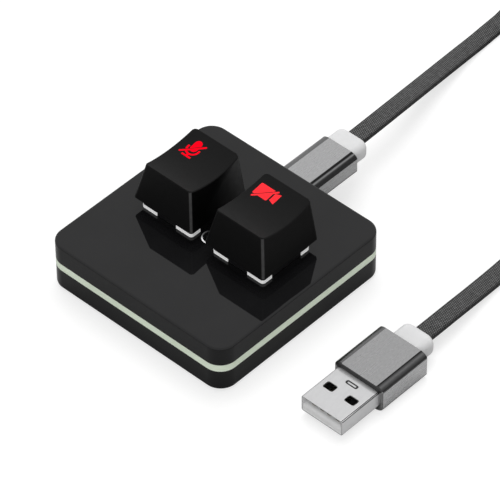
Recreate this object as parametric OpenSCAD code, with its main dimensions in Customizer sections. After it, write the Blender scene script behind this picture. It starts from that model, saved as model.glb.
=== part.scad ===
// Two-key USB mute button: a square puck with a light strip, two sprung keys
// and a flat woven cable. Millimetres, +Z up, origin under the middle of the
// body on the surface that it stands on. +Y is the side that the cable leaves.

/* [Body] */
// Width and depth of the square body
body_side = 54; // [53:0.5:64]
// Radius of the body's upright corners
corner_r = 4.4; // [3:0.2:8]
// Rounding of the body's outer edges, top and bottom
edge_r = 0.3; // [0.2:0.1:1]
// Height of the bottom shell
bottom_shell_h = 5.7; // [5.5:0.1:8]
// Height of the light strip between the shells
strip_h = 1.9; // [1.2:0.1:2.5]
// Height of the top shell
top_shell_h = 5.2; // [5:0.1:7]
// Thickness of the side walls
wall = 2; // [1.6:0.1:2.4]
// Thickness of the plate that the switches clip into
plate_t = 1.5; // [1.3:0.1:1.7]
// Thickness of the bottom shell's floor
floor_t = 2; // [1.6:0.1:2.6]

/* [Feet and screws] */
// Diameter of a rubber foot
foot_d = 8; // [6:0.5:9]
// How far a foot stands out of the body
foot_stand = 0.5; // [0.3:0.1:1.5]
// Depth of the recess that holds a foot
foot_recess = 0.8; // [0.5:0.1:1.2]
// Distance of a foot's centre from the middle of the body, along X and Y
foot_at = 20; // [18:0.5:20.5]
// Diameter of a screw's thread
screw_d = 2; // [1.6:0.1:2.2]
// Diameter of a screw's head
screw_head_d = 3.8; // [3.2:0.1:4]
// Height of a screw's head
screw_head_h = 1.3; // [1:0.1:1.6]
// Length of a screw under its head
screw_len = 7.6; // [7:0.1:8]
// Length of thread that a screw has in its boss
screw_grip = 2.4; // [2:0.1:2.8]
// Distance of the screws from the middle of the body, along Y
screw_at_y = 12; // [11:0.5:13]

/* [Keys] */
// Distance between the two keys
key_pitch = 22; // [21:0.5:23]
// Middle of the key row from the middle of the body, along X
key_row_x = 0.15; // [-0.5:0.05:0.5]
// Middle of the key row from the middle of the body, along Y
key_row_y = 3.05; // [1:0.25:4]
// Travel of a key
key_travel = 2.6; // [1.8:0.1:2.7]
// Height of a keycap's rim over the plate at rest
cap_rise = 3; // [2.9:0.1:4]
// Width and depth of a keycap at its rim
cap_base = 18.3; // [18:0.1:19]
// Width of a keycap's top
cap_top_w = 14; // [12.5:0.1:15]
// How far a keycap's front face leans in from rim to top
cap_front_lean = 2.15; // [1.5:0.05:3]
// Height of a keycap from its rim to its front top edge
cap_h = 10.2; // [9.8:0.1:11]
// How much higher its back top edge is
cap_back_rise = 0.25; // [0.05:0.05:0.6]
// Depth of the dish in a keycap's top
dish_sag = 1.25; // [0.8:0.05:1.4]
// Rounding of a keycap's upright edges
cap_edge_r = 1; // [0.6:0.1:1.4]
// Wall thickness of a keycap
cap_wall = 1; // [0.9:0.05:1.1]
// Thickness of a keycap's top under the dish
cap_roof = 1.5; // [1.2:0.1:1.7]
// Diameter of the post under a keycap that takes the stem
cap_post_d = 5.5; // [5.2:0.1:5.6]

/* [Legends] */
// Depth of a legend's coloured inlay
legend_depth = 0.5; // [0.3:0.1:0.8]
// Length of the bar across a legend
bar_len = 6.5; // [6:0.1:7.2]
// Width of the bar across a legend
bar_w = 0.48; // [0.3:0.02:0.6]
// Clear line beside the bar
bar_clear = 0.16; // [0.1:0.01:0.4]

/* [Switches] */
// Side of the square cut-out in the plate
cutout = 14; // [13.9:0.05:14.1]
// Width of the switch flange that rests on the plate
flange_w = 15.6; // [15.2:0.1:15.7]
// Height of the switch flange
flange_h = 0.95; // [0.9:0.05:1.4]
// Width of the notch in the middle of the flange's front and back
notch_w = 6; // [5:0.2:7]
// Width of the notch in the middle of the flange's sides
side_notch_w = 9.7; // [8:0.1:10]
// Height of a switch housing over the plate
housing_h = 6.6; // [6.4:0.1:7]
// Depth of a switch from the plate's face to the board
switch_drop = 5; // [4.8:0.1:5.2]
// Height of the stem's cross over the housing
cross_h = 3.6; // [3.2:0.1:3.8]
// Length of the arms of the stem's cross
cross_w = 4; // [3.8:0.05:4.1]
// Thickness of the arms of the stem's cross
cross_t = 1.2; // [1:0.05:1.3]
// Diameter of the return spring to the middle of its wire
spring_d = 4.3; // [4.2:0.05:4.4]
// Thickness of the return spring's wire
spring_wire = 0.3; // [0.2:0.05:0.35]
// Turns of the return spring
spring_turns = 8; // [6:1:8]

/* [Circuit board and socket] */
// Thickness of the circuit board
board_t = 1.6; // [1.2:0.1:1.8]
// Width of the socket's metal shell
socket_w = 8.94; // [8.9:0.02:9.1]
// Height of the socket's metal shell
socket_h = 3.26; // [3.2:0.02:3.4]
// Length of the socket's metal shell
socket_len = 7.2; // [7:0.1:7.4]
// Height of the socket's middle over the board's upper face
socket_rise = 0.65; // [0.5:0.05:0.8]

/* [Status light] */
// Diameter of the status light's bezel
bezel_d = 4.7; // [4.6:0.1:5.2]
// Width of the bezel's ring
bezel_ring = 0.35; // [0.35:0.05:0.6]
// How far the bezel stands over the plate
bezel_proud = 0.2; // [0.1:0.05:0.3]
// Distance of the status light in front of the body's middle
status_y = 1.55; // [1:0.1:4]

/* [Back plug] */
// Width of the back plug's grip
back_grip_w = 10.7; // [10.5:0.1:12]
// Height of the back plug's grip
back_grip_h = 6; // [5.8:0.1:7]
// Length of the back plug's grip
back_grip_len = 15; // [14:0.5:18]
// Width of the back plug's collar
back_collar_w = 9; // [8.6:0.1:10.2]
// How far the back collar sits beside and above the plug's middle
back_collar_off = [-0.3, 0.25];
// Length of the back plug's collar
back_collar_len = 5.3; // [4.5:0.1:7]
// Length of the back plug's metal tip
tip_len = 6.65; // [6.5:0.05:6.7]

/* [USB-A plug] */
// Width of the plug's grip
usb_grip_w = 14.1; // [14:0.1:16]
// Height of the plug's grip
usb_grip_h = 7.3; // [7:0.1:8.5]
// Length of the plug's grip
usb_grip_len = 15.1; // [14:0.1:20]
// Width of the plug's collar
usb_collar_w = 8.9; // [8:0.1:10]
// Width of the plug's metal shell
usb_shell_w = 12; // [11.9:0.05:12.1]
// Height of the plug's metal shell
usb_shell_h = 4.5; // [4.4:0.05:4.6]
// Thickness of the metal shell's sheet
usb_sheet = 0.3; // [0.25:0.01:0.35]
// How far the metal shell stands out of the grip
usb_shell_out = 11.9; // [11.5:0.1:12.5]
// Width of a window in the metal shell
window_w = 2.9; // [2:0.1:3]
// Length of a window in the metal shell
window_len = 2.15; // [1.5:0.05:2.5]
// Height of the insulator in the metal shell
insulator_h = 1.9; // [1.7:0.05:2]

/* [Collars and cable] */
// Cut of a grip's long edges, across its top
grip_edge_w = 1.95; // [1.5:0.05:2.4]
// Cut of a grip's long edges, down its sides
grip_edge_h = 1.25; // [0.6:0.05:1.4]
// Wall thickness of a grip
grip_wall = 0.9; // [0.7:0.05:1]
// Height of both collars
collar_h = 5.2; // [4.6:0.1:5.4]
// Length of the USB-A plug's collar
collar_len = 6; // [5:0.5:8]
// Length over which a collar's far end is rounded
collar_round = 1.4; // [1:0.1:3]
// How far the far end of a collar closes in at each side
collar_in = 1.3; // [1:0.1:2]
// Radius of a collar's long edges
collar_edge_r = 1.9; // [1.5:0.1:2.3]
// Width of the flat cable
cable_w = 4.8; // [4:0.1:5]
// Thickness of the flat cable
cable_t = 1.3; // [1:0.05:1.4]
// Width of the tie round the coil
tie_w = 8; // [5:0.5:12]
// Thickness of the tie round the coil
tie_t = 0.5; // [0.4:0.1:0.8]

/* [Hidden] */
$fn = 64;
tiny = 0.01;

// Colours
gloss_black = [0.05, 0.05, 0.055];
cap_black = [0.09, 0.09, 0.095];
rubber_black = [0.12, 0.12, 0.12];
legend_red = [0.9, 0.05, 0.12];
stem_red = [0.55, 0.12, 0.1];
switch_white = [0.93, 0.93, 0.92];
cover_black = [0.07, 0.07, 0.075];
strip_green = [0.74, 0.8, 0.7];
board_green = [0.06, 0.3, 0.16];
part_brown = [0.3, 0.27, 0.22];
lamp_yellow = [0.95, 0.93, 0.8];
metal_grey = [0.75, 0.75, 0.76];
grip_grey = [0.42, 0.42, 0.43];
collar_white = [0.9, 0.9, 0.9];
cable_grey = [0.2, 0.2, 0.2];
gold = [0.85, 0.68, 0.3];

// Clearances
fit_gap = 0.05;
slide_gap = 0.12;
board_gap = 0.3;
thread_room = 0.3;

// Levels of the body
base_z = foot_stand;
strip_z = base_z + bottom_shell_h;
top_z = strip_z + strip_h;
plate_z = top_z + top_shell_h;
plate_under = plate_z - plate_t;
board_top = plate_z - switch_drop;
board_under = board_top - board_t;
port_z = board_top + socket_rise;
back_y = body_side / 2;

// Inside of the body
inner_side = body_side - 2 * wall;
inner_r = max(corner_r - wall, 0.5);
board_side = inner_side - 2 * board_gap;
board_r = max(inner_r - board_gap, 0.4);

// Screws, with the posts under the board and the bosses over it
post_d = screw_head_d + 2.4;
boss_d = screw_d + 2.8;
screw_at_x = inner_side / 2 - post_d / 2 - 0.5;
screw_spots = [for (sx = [-1, 1], sy = [-1, 1]) [sx * screw_at_x, sy * screw_at_y]];
screw_seat_z = board_top + screw_grip - screw_len;
slot_len = 2;
slot_w = 0.5;
slot_deep = 0.7;

// Feet
foot_spots = [for (sx = [-1, 1], sy = [-1, 1]) [sx * foot_at, sy * foot_at]];
foot_soft = 0.3;

// Keycap
key_x = [key_row_x - key_pitch / 2, key_row_x + key_pitch / 2];
cap_z = plate_z + cap_rise;
cap_full_h = cap_h + cap_back_rise;
cap_side_lean = (cap_base - cap_top_w) / 2;
cap_top_back = cap_base / 2;
cap_top_front = -cap_base / 2 + cap_front_lean;
cap_top_d = cap_top_back - cap_top_front;
cap_top_mid = (cap_top_back + cap_top_front) / 2;
dish_r = (cap_top_d * cap_top_d / 4 + dish_sag * dish_sag) / (2 * dish_sag);
dish_tilt = atan(cap_back_rise / cap_top_d);
dish_z = cap_z + cap_h + cap_back_rise / 2 - dish_sag;
cap_inside_z = dish_z - cap_roof;

// Switch
housing_top = plate_z + housing_h;
below_w = cutout - 2 * fit_gap;
switch_wall = 0.8;
base_inside = below_w - 2 * switch_wall;
base_floor = 1.2;
notch_deep = 0.9;
flange_r = 0.8;
guide_top = board_top + 2.4;
guide_d = 3.6;
guide_bore = 2.6;
pole_d = guide_bore - 2 * slide_gap;
post_below = 3;
post_below_d = 3.9;
peg_at = 5.08;
peg_d = 1.65;
stem_block = [7, 5.6];
stem_under = guide_top + key_travel + 0.1;
stem_rim = [8.6, 7.2];
stem_rim_h = 0.9;
cover_roof = 1;
cover_wall = 0.9;
cover_low_w = 14.4;
cover_top_w = 11.4;
cover_under = housing_top - cover_roof;
spring_pocket_d = spring_d + spring_wire + 0.4;
spring_pocket_h = 3;
spring_low = board_top + base_floor;
spring_high = stem_under + spring_pocket_h;

// Socket and back plug
socket_sheet = 0.3;
socket_round = socket_h / 2 - tiny;
socket_front = back_y - 0.8;
socket_back = socket_front - socket_len;
tip_w = socket_w - 2 * socket_sheet - 0.1;
tip_h = socket_h - 2 * socket_sheet - 0.16;
tip_round = tip_h / 2 - tiny;
tip_bed = 3;
tongue_w = 6.7;
tongue_t = 0.7;
tongue_len = 4.4;
core_r = 1.2;
back_core_w = back_grip_w - 2 * grip_wall;
back_core_h = back_grip_h - 2 * grip_wall;
back_grip_end = back_y + back_grip_len;

// Cable sections with eight and with six sides
cable_soft = 0.4;
section8 = [[-cable_w / 2, -cable_t / 5], [-cable_w / 2, cable_t / 5],
            [-cable_w / 2 + cable_soft, cable_t / 2], [cable_w / 2 - cable_soft, cable_t / 2],
            [cable_w / 2, cable_t / 5], [cable_w / 2, -cable_t / 5],
            [cable_w / 2 - cable_soft, -cable_t / 2], [-cable_w / 2 + cable_soft, -cable_t / 2]];
section6 = [[-cable_w / 2, 0], [-cable_w / 2 + cable_soft, cable_t / 2],
            [cable_w / 2 - cable_soft, cable_t / 2], [cable_w / 2, 0],
            [cable_w / 2 - cable_soft, -cable_t / 2], [-cable_w / 2 + cable_soft, -cable_t / 2]];

// Heights at which the cable lies: flat on the surface, and on edge in the coil's two layers
lie_gap = 0.05;
layer_gap = 0.45;
flat_z = cable_t / 2 + lie_gap;
low_z = tie_t + lie_gap + cable_w / 2;
high_z = low_z + cable_w + layer_gap;

// Route of the cable from the back plug to the coil: x, y, z and roll in degrees
near_route = [[-0.74, 47.3, 9.2, 0], [-0.91, 53, 9.15, 0], [-1.48, 60, 8.6, 0], [-2.66, 68, 7.2, 0],
              [-4.49, 77, 4.9, 0], [-6.19, 86, 2.8, 0], [-7.37, 94, 1.4, 0], [-8.07, 102, flat_z, 0],
              [-8.45, 110, flat_z, 0], [-8.8, 117, 1.6, 20], [-9.05, 124, 2.4, 48],
              [-9.1, 131, 2.8, 76], [-9.1, 137, low_z, 90], [-9.1, 142, low_z, 90]];
// Route from the coil to the USB-A plug
far_route = [[50.1, 142, high_z, 90], [50.1, 136, high_z, 90], [50, 128, 7.6, 86],
             [49.8, 119, 6.3, 68], [49.5, 110, 4.7, 42], [49, 101, 2.9, 18], [48.4, 92, 1.5, 4],
             [47.8, 83, flat_z, 0], [47.4, 73, flat_z, 0], [47.2, 62, flat_z, 0],
             [47.2, 52, flat_z, 0], [47.6, 43, 0.95, 0], [48.3, 34, 1.9, 0],
             [49.1, 25, 3.2, 0], [49.4, 19, 3.65, 0], [49.4, 14.2, 3.65, 0]];

// Coil: 4.5 turns on edge between the two routes, in two layers
coil_r = 29.6;
coil_mid = [20.5, 142];
coil_step = 2;
coil_turns = 4.5;
rings_a_turn = 24;
coil_rings = rings_a_turn * coil_turns + 1;
coil_least_r = coil_r - coil_step * coil_turns / 2 - cable_t / 2;
tie_gap = 0.3;
tie_in = sqrt(coil_least_r * coil_least_r - tie_w * tie_w / 4) - tie_gap;
tie_out = coil_r + cable_t / 2 + tie_gap;
tie_top = high_z + cable_w / 2 + tie_gap;

// USB-A plug, lying on the surface with its collar at the end of the cable
usb_end = far_route[len(far_route) - 1];
usb_x = usb_end[0];
usb_z = usb_grip_h / 2;
usb_collar_y = usb_end[1] - collar_len;
usb_grip_y = usb_collar_y - usb_grip_len;
usb_front_y = usb_grip_y - usb_shell_out;
usb_core_w = usb_grip_w - 2 * grip_wall;
usb_core_h = usb_grip_h - 2 * grip_wall;
usb_core_set = 0.6;
usb_bed = 5;
usb_round = 0.45;
window_at = [3.15, 6.25];
mark = [3.2, 0.9];
mark_line = 0.25;
mark_deep = 0.12;
mark_at = 10;
pad_x = [-3.5, -1, 1, 3.5];
pad = [1, 9, 0.2];
pad_set = 1.2;

// Functions
function unit(v) = v / norm(v);
function spot(p) = [p[0], p[1], p[2]];

// Direction of a route at point i, with set headings at its two ends
function heading(route, i, first, last) =
    i == 0 ? first : i == len(route) - 1 ? last : unit(spot(route[i + 1]) - spot(route[i - 1]));

// One ring of a tube: its section stands across the heading and is rolled about it
function ring_at(p, dir, roll, section) =
    let (side = unit(cross([0, 0, 1], dir)), up = cross(dir, side),
         across = side * cos(roll) + up * sin(roll), over = up * cos(roll) - side * sin(roll))
    [for (s = section) p + across * s[0] + over * s[1]];

// Faces of a closed tube of n sides through a number of rings
function tube_faces(rings, n) = concat(
    [for (k = [1:n - 2]) [0, k, k + 1]],
    [for (i = [0:rings - 2], k = [0:n - 1]) [i * n + k, (i + 1) * n + k, i * n + (k + 1) % n]],
    [for (i = [0:rings - 2], k = [0:n - 1])
        [i * n + (k + 1) % n, (i + 1) * n + k, (i + 1) * n + (k + 1) % n]],
    [for (k = [1:n - 2]) [(rings - 1) * n, (rings - 1) * n + k + 1, (rings - 1) * n + k]]);

module flat_tube(route, first, last) {
    points = [for (i = [0:len(route) - 1])
        each ring_at(spot(route[i]), heading(route, i, first, last), route[i][3], section8)];
    polyhedron(points, tube_faces(len(route), len(section8)), convexity = 6);
}

// Plain shapes with rounded corners
module rounded_rect(w, d, r) {
    square([w - 2 * r, d], center = true);
    square([w, d - 2 * r], center = true);
    for (sx = [-1, 1], sy = [-1, 1])
        translate([sx * (w / 2 - r), sy * (d / 2 - r)]) circle(r);
}

module rounded_slab(w, d, h, r) {
    linear_extrude(height = h) rounded_rect(w, d, r);
}

// Lays an outline drawn in X and Z along +Y
module along_y(length) {
    rotate([90, 0, 0]) translate([0, 0, -length]) linear_extrude(height = length) children();
}

module rounded_bar(w, h, length, r) {
    along_y(length) rounded_rect(w, h, r);
}

// Side view of a slab whose top or bottom edges are soft
module soft_side(w, h, top, bottom) {
    inset = max(top, bottom);
    translate([-w / 2, bottom]) square([w, h - top - bottom]);
    translate([-w / 2 + inset, 0]) square([w - 2 * inset, h]);
    for (s = [-1, 1]) {
        if (top > 0) translate([s * (w / 2 - top), h - top]) circle(top);
        if (bottom > 0) translate([s * (w / 2 - bottom), bottom]) circle(bottom);
    }
}

// Square slab with upright corners of radius r and soft outer edges
module soft_slab(side, h, r, top, bottom) {
    for (a = [0, 90])
        rotate([90, 0, a])
            linear_extrude(height = side - 2 * r, center = true) soft_side(side, h, top, bottom);
    for (sx = [-1, 1], sy = [-1, 1])
        translate([sx * (side / 2 - r), sy * (side / 2 - r), 0])
            rotate_extrude()
                intersection() {
                    soft_side(2 * r, h, top, bottom);
                    square([2 * r, 2 * h]);
                }
}

// Opening for the cable's plug through the back wall
module port_hole() {
    translate([0, inner_side / 2 - 1, port_z])
        rounded_bar(socket_w + 2 * board_gap, socket_h + 2 * fit_gap, wall + 2, socket_round);
}

module top_shell() {
    boss_in_plate = 0.5;
    color(gloss_black)
        difference() {
            union() {
                difference() {
                    translate([0, 0, top_z]) soft_slab(body_side, top_shell_h, corner_r, edge_r, 0);
                    translate([0, 0, top_z - tiny])
                        rounded_slab(inner_side, inner_side, plate_under - top_z + tiny, inner_r);
                }
                for (p = screw_spots)
                    translate([p[0], p[1], board_top])
                        cylinder(d = boss_d, h = plate_under + boss_in_plate - board_top);
            }
            for (p = screw_spots)
                translate([p[0], p[1], board_top - tiny])
                    cylinder(d = screw_d + 2 * fit_gap, h = screw_grip + thread_room);
            for (x = key_x)
                translate([x, key_row_y, plate_under - tiny])
                    linear_extrude(height = plate_t + 2 * tiny) square(cutout, center = true);
            translate([key_row_x, -status_y, plate_under - tiny])
                cylinder(d = lens_d + 2 * fit_gap, h = plate_t + 2 * tiny);
            translate([key_row_x, -status_y, plate_z - bezel_sunk])
                cylinder(d = bezel_d + 2 * fit_gap, h = bezel_sunk + tiny);
            port_hole();
        }
}

module light_strip() {
    color(strip_green)
        difference() {
            translate([0, 0, strip_z]) rounded_slab(body_side, body_side, strip_h, corner_r);
            translate([0, 0, strip_z - tiny])
                rounded_slab(inner_side, inner_side, strip_h + 2 * tiny, inner_r);
            port_hole();
        }
}

module bottom_shell() {
    color(gloss_black)
        difference() {
            union() {
                difference() {
                    translate([0, 0, base_z]) soft_slab(body_side, bottom_shell_h, corner_r, 0, edge_r);
                    translate([0, 0, base_z + floor_t])
                        rounded_slab(inner_side, inner_side, bottom_shell_h, inner_r);
                }
                for (p = screw_spots)
                    translate([p[0], p[1], base_z + floor_t / 2])
                        cylinder(d = post_d, h = board_under - base_z - floor_t / 2);
            }
            for (p = screw_spots)
                translate([p[0], p[1], base_z - tiny]) {
                    cylinder(d = screw_head_d + 2 * board_gap, h = screw_seat_z - base_z + tiny);
                    cylinder(d = screw_d + board_gap, h = board_under);
                }
            for (p = foot_spots)
                translate([p[0], p[1], base_z - tiny])
                    cylinder(d = foot_d + 2 * fit_gap, h = foot_recess + tiny);
        }
}

module rubber_feet() {
    color(rubber_black)
        for (p = foot_spots)
            translate([p[0], p[1], 0]) {
                cylinder(d1 = foot_d - 2 * foot_soft, d2 = foot_d, h = foot_soft);
                translate([0, 0, foot_soft]) cylinder(d = foot_d, h = foot_stand + foot_recess - foot_soft);
            }
}

module case_screws() {
    color(metal_grey)
        for (p = screw_spots)
            translate([p[0], p[1], screw_seat_z]) {
                cylinder(d = screw_d, h = screw_len);
                difference() {
                    translate([0, 0, -screw_head_h]) cylinder(d = screw_head_d, h = screw_head_h);
                    for (a = [0, 90])
                        rotate([0, 0, a])
                            translate([-slot_len / 2, -slot_w / 2, -screw_head_h - tiny])
                                cube([slot_len, slot_w, slot_deep]);
                }
            }
}

// Holes that one switch needs in the board
module switch_board_holes() {
    cylinder(d = post_below_d + 2 * fit_gap, h = board_t + 2 * tiny);
    for (s = [-1, 1])
        translate([s * peg_at, 0, 0]) cylinder(d = peg_d + 2 * fit_gap, h = board_t + 2 * tiny);
    for (p = pin_spots)
        translate([p[0], p[1], 0]) cylinder(d = norm(pin) + 2 * board_gap, h = board_t + 2 * tiny);
}

module circuit_board() {
    color(board_green)
        difference() {
            translate([0, 0, board_under]) rounded_slab(board_side, board_side, board_t, board_r);
            for (p = screw_spots)
                translate([p[0], p[1], board_under - tiny])
                    cylinder(d = screw_d + board_gap, h = board_t + 2 * tiny);
            for (x = key_x) translate([x, key_row_y, board_under - tiny]) switch_board_holes();
            translate([-socket_w / 2 - fit_gap, socket_back - fit_gap, board_under - tiny])
                cube([socket_w + 2 * fit_gap, body_side, board_t + 2 * tiny]);
        }
}

// Parts under the board
chip_side = 7;
chip_t = 1;
chip_at = [0, -11];
dot_d = 0.8;
dot_deep = 0.1;

module controller_chip() {
    color([0.1, 0.1, 0.11])
        translate([chip_at[0], chip_at[1], board_under - chip_t])
            difference() {
                translate([-chip_side / 2, -chip_side / 2, 0]) cube([chip_side, chip_side, chip_t]);
                translate([1 - chip_side / 2, chip_side / 2 - 1, -tiny])
                    cylinder(d = dot_d, h = dot_deep + tiny);
            }
}

// Small parts under the board: x, y, length, width, height
small_parts = [[-7, -9, 1.6, 0.8, 0.6], [-7, -11, 1.6, 0.8, 0.6], [-7, -13, 1.6, 0.8, 0.6],
               [7, -9, 1.6, 0.8, 0.6], [7, -13, 1.6, 0.8, 0.6], [0, -17, 3.2, 2.5, 0.8],
               [-4, -17, 1.6, 0.8, 0.6], [4, -17, 1.6, 0.8, 0.6], [-4, 15, 2.9, 1.6, 1.1],
               [4, 15, 2, 1.25, 0.8], [0, 14, 2, 1.25, 0.8], [0, 12, 1.6, 0.8, 0.6]];

module board_parts() {
    color(part_brown)
        for (p = small_parts)
            translate([p[0] - p[2] / 2, p[1] - p[3] / 2, board_under - p[4]])
                cube([p[2], p[3], p[4]]);
}

// Lights under the board's edge that shine into the strip
side_light = [3, 1.2, 1.1];
side_light_at = 7;
side_light_in = 0.2;

module side_lights() {
    color(lamp_yellow)
        for (a = [0, 90, 180, 270], s = [-1, 1])
            rotate([0, 0, a])
                translate([s * side_light_at - side_light[0] / 2,
                           side_light_in - board_side / 2, board_under - side_light[2]])
                    cube(side_light);
}

// Status light between the keys
bezel_sunk = 0.3;
lens_d = bezel_d - 2 * bezel_ring - 2 * fit_gap;
lens_flange = [0.6, 0.6];
status_light_size = [2, 1.25, 0.8];
lens_low = board_top + status_light_size[2] + 0.2;

module status_bezel() {
    color(metal_grey)
        translate([key_row_x, -status_y, plate_z - bezel_sunk])
            difference() {
                union() {
                    cylinder(d = bezel_d, h = bezel_sunk);
                    translate([0, 0, bezel_sunk])
                        cylinder(d1 = bezel_d, d2 = bezel_d - bezel_ring, h = bezel_proud);
                }
                translate([0, 0, -tiny])
                    cylinder(d = lens_d + 2 * fit_gap, h = bezel_sunk + bezel_proud + 2 * tiny);
            }
}

module status_lens() {
    color([0.16, 0.16, 0.17])
        translate([key_row_x, -status_y, 0]) {
            translate([0, 0, lens_low]) cylinder(d = lens_d, h = plate_z - lens_low);
            translate([0, 0, plate_under - lens_flange[1]])
                cylinder(d = lens_d + 2 * lens_flange[0], h = lens_flange[1]);
        }
}

module status_light() {
    color(lamp_yellow)
        translate([key_row_x - status_light_size[0] / 2, -status_y - status_light_size[1] / 2, board_top])
            cube(status_light_size);
}

// Socket, with the feet that hold it on the board
socket_foot = [1.2, 1.5, 0.3];
socket_feet_y = [0.6, 3.6];

module socket_shell() {
    color(metal_grey) {
        difference() {
            translate([0, socket_back, port_z])
                rounded_bar(socket_w, socket_h, socket_len, socket_round);
            translate([0, socket_back + socket_sheet, port_z])
                rounded_bar(socket_w - 2 * socket_sheet, socket_h - 2 * socket_sheet, socket_len,
                            socket_round - socket_sheet);
        }
        for (s = [-1, 1], y = socket_feet_y)
            translate([s * (socket_w / 2 + socket_foot[2]) - socket_foot[0] / 2, socket_back + y, board_top])
                cube(socket_foot);
    }
}

module socket_tongue() {
    color([0.1, 0.1, 0.1])
        translate([-tongue_w / 2, socket_back + socket_sheet, port_z - tongue_t / 2])
            cube([tongue_w, tongue_len, tongue_t]);
}

// Legends, drawn about the middle of their bars, up is +Y
legend_at = [-2.9, 4.35];
bar_angle = 43;

module pill(w, h) {
    for (s = [-1, 1]) translate([0, s * (h - w) / 2]) circle(w / 2);
    square([w, h - w], center = true);
}

module bar(middle) {
    translate(middle) rotate([0, 0, bar_angle - 90]) pill(bar_w, bar_len);
}

module bar_room(middle) {
    translate(middle)
        rotate([0, 0, bar_angle - 90])
            translate([-bar_w / 2 - bar_clear, -bar_len]) square([bar_clear, 2 * bar_len]);
}

module microphone() {
    cradle_r = 1.85;
    cradle_t = 0.5;
    cradle_up = 0.5;
    inner_r = cradle_r - cradle_t;
    stalk = [0.5, 0.7];
    base = [2.7, 0.5];
    middle = [-0.1, 0];
    difference() {
        union() {
            translate([0, 1]) pill(2, 3.4);
            difference() {
                union() {
                    circle(cradle_r);
                    translate([-cradle_r, 0]) square([2 * cradle_r, cradle_up]);
                }
                circle(inner_r);
                translate([-inner_r, 0]) square([2 * inner_r, cradle_r]);
                translate([-cradle_r - 1, cradle_up]) square([2 * cradle_r + 2, cradle_r]);
            }
            translate([-stalk[0] / 2, -cradle_r - stalk[1] + 0.2]) square(stalk);
            translate([-base[0] / 2, -cradle_r - stalk[1] - 0.1]) square(base);
        }
        bar_room(middle);
    }
    bar(middle);
}

module camera() {
    box = [4.2, 3.4];
    lens_x = [1.85, 3.35];
    lens_half = [1.07, 1.55];
    middle = [-0.05, 0.25];
    difference() {
        translate([0, 0.57]) {
            translate([-0.7, 0]) rounded_rect(box[0], box[1], 0.3);
            polygon([[lens_x[0], -lens_half[0]], [lens_x[1], -lens_half[1]],
                     [lens_x[1], lens_half[1]], [lens_x[0], lens_half[0]]]);
        }
        bar_room(middle);
    }
    bar(middle);
}

// Everything over the dish's surface, or over one that lies deeper
module dish(deeper) {
    translate([0, cap_top_mid, dish_z])
        rotate([dish_tilt, 0, 0])
            translate([0, 0, dish_r])
                rotate([0, 90, 0])
                    cylinder(r = dish_r + deeper, h = 2 * cap_base, center = true, $fn = 180);
}

module legend_solid(which) {
    intersection() {
        translate([legend_at[0], legend_at[1], cap_inside_z])
            linear_extrude(height = cap_full_h) {
                if (which == 0) microphone();
                if (which == 1) camera();
            }
        dish(legend_depth);
    }
}

// Block of a keycap's outside, or set in by a wall, from its rim up to a height
module cap_block(set_in, height) {
    r = max(cap_edge_r - set_in, 0.3);
    half = cap_base / 2 - set_in - r;
    share = height / cap_full_h;
    hull()
        for (sx = [-1, 1]) {
            for (sy = [-1, 1])
                translate([sx * half, sy * half, 0]) cylinder(r = r, h = tiny, $fn = 32);
            translate([sx * (half - share * cap_side_lean), half, height - tiny])
                cylinder(r = r, h = tiny, $fn = 32);
            translate([sx * (half - share * cap_side_lean), -half + share * cap_front_lean, height - tiny])
                cylinder(r = r, h = tiny, $fn = 32);
        }
}

module keycap(which) {
    socket_deep = cross_h + 0.1;
    color(cap_black)
        translate([key_x[which], key_row_y, 0])
            difference() {
                translate([0, 0, cap_z]) cap_block(0, cap_full_h);
                difference() {
                    translate([0, 0, cap_z - tiny]) cap_block(cap_wall, cap_inside_z - cap_z + tiny);
                    translate([0, 0, housing_top + fit_gap]) cylinder(d = cap_post_d, h = cap_full_h);
                }
                dish(0);
                legend_solid(which);
                for (a = [0, 90])
                    rotate([0, 0, a])
                        translate([-cross_w / 2 - fit_gap, -cross_t / 2 - fit_gap, housing_top])
                            cube([cross_w + 2 * fit_gap, cross_t + 2 * fit_gap, socket_deep]);
            }
}

module legend(which) {
    color(legend_red)
        translate([key_x[which], key_row_y, 0])
            difference() {
                legend_solid(which);
                dish(0);
            }
}

module stem(which) {
    pole_low = board_top + 0.5;
    color(stem_red)
        translate([key_x[which], key_row_y, 0]) {
            for (a = [0, 90])
                rotate([0, 0, a])
                    translate([-cross_w / 2, -cross_t / 2, housing_top - tiny])
                        cube([cross_w, cross_t, cross_h + tiny]);
            difference() {
                union() {
                    translate([-stem_block[0] / 2, -stem_block[1] / 2, stem_under])
                        cube([stem_block[0], stem_block[1], housing_top - stem_under]);
                    translate([-stem_rim[0] / 2, -stem_rim[1] / 2, cover_under - 0.1 - stem_rim_h])
                        cube([stem_rim[0], stem_rim[1], stem_rim_h]);
                }
                translate([0, 0, stem_under - tiny])
                    cylinder(d = spring_pocket_d, h = spring_pocket_h + tiny);
            }
            translate([0, 0, pole_low]) cylinder(d = pole_d, h = spring_high - pole_low + tiny);
        }
}

// Return spring: one unbroken wire between the base's floor and the stem's pocket
spring_rise = spring_high - spring_low - spring_wire;
spring_sides = 6;
spring_rings = 8 * spring_turns + 1;

module spring(which) {
    wire = [for (k = [0:spring_sides - 1])
        spring_wire / 2 * [cos(k * 360 / spring_sides), sin(k * 360 / spring_sides)]];
    points = [for (i = [0:spring_rings - 1])
        let (out = [cos(-45 * i), sin(-45 * i), 0],
             z = spring_low + spring_wire / 2 + spring_rise * i / (spring_rings - 1))
        each [for (w = wire) out * (spring_d / 2 + w[0]) + [0, 0, z + w[1]]]];
    color(metal_grey)
        translate([key_x[which], key_row_y, 0])
            polyhedron(points, tube_faces(spring_rings, spring_sides), convexity = 10);
}
echo(spring_least_gap = spring_rise / spring_turns - spring_wire);

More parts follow.
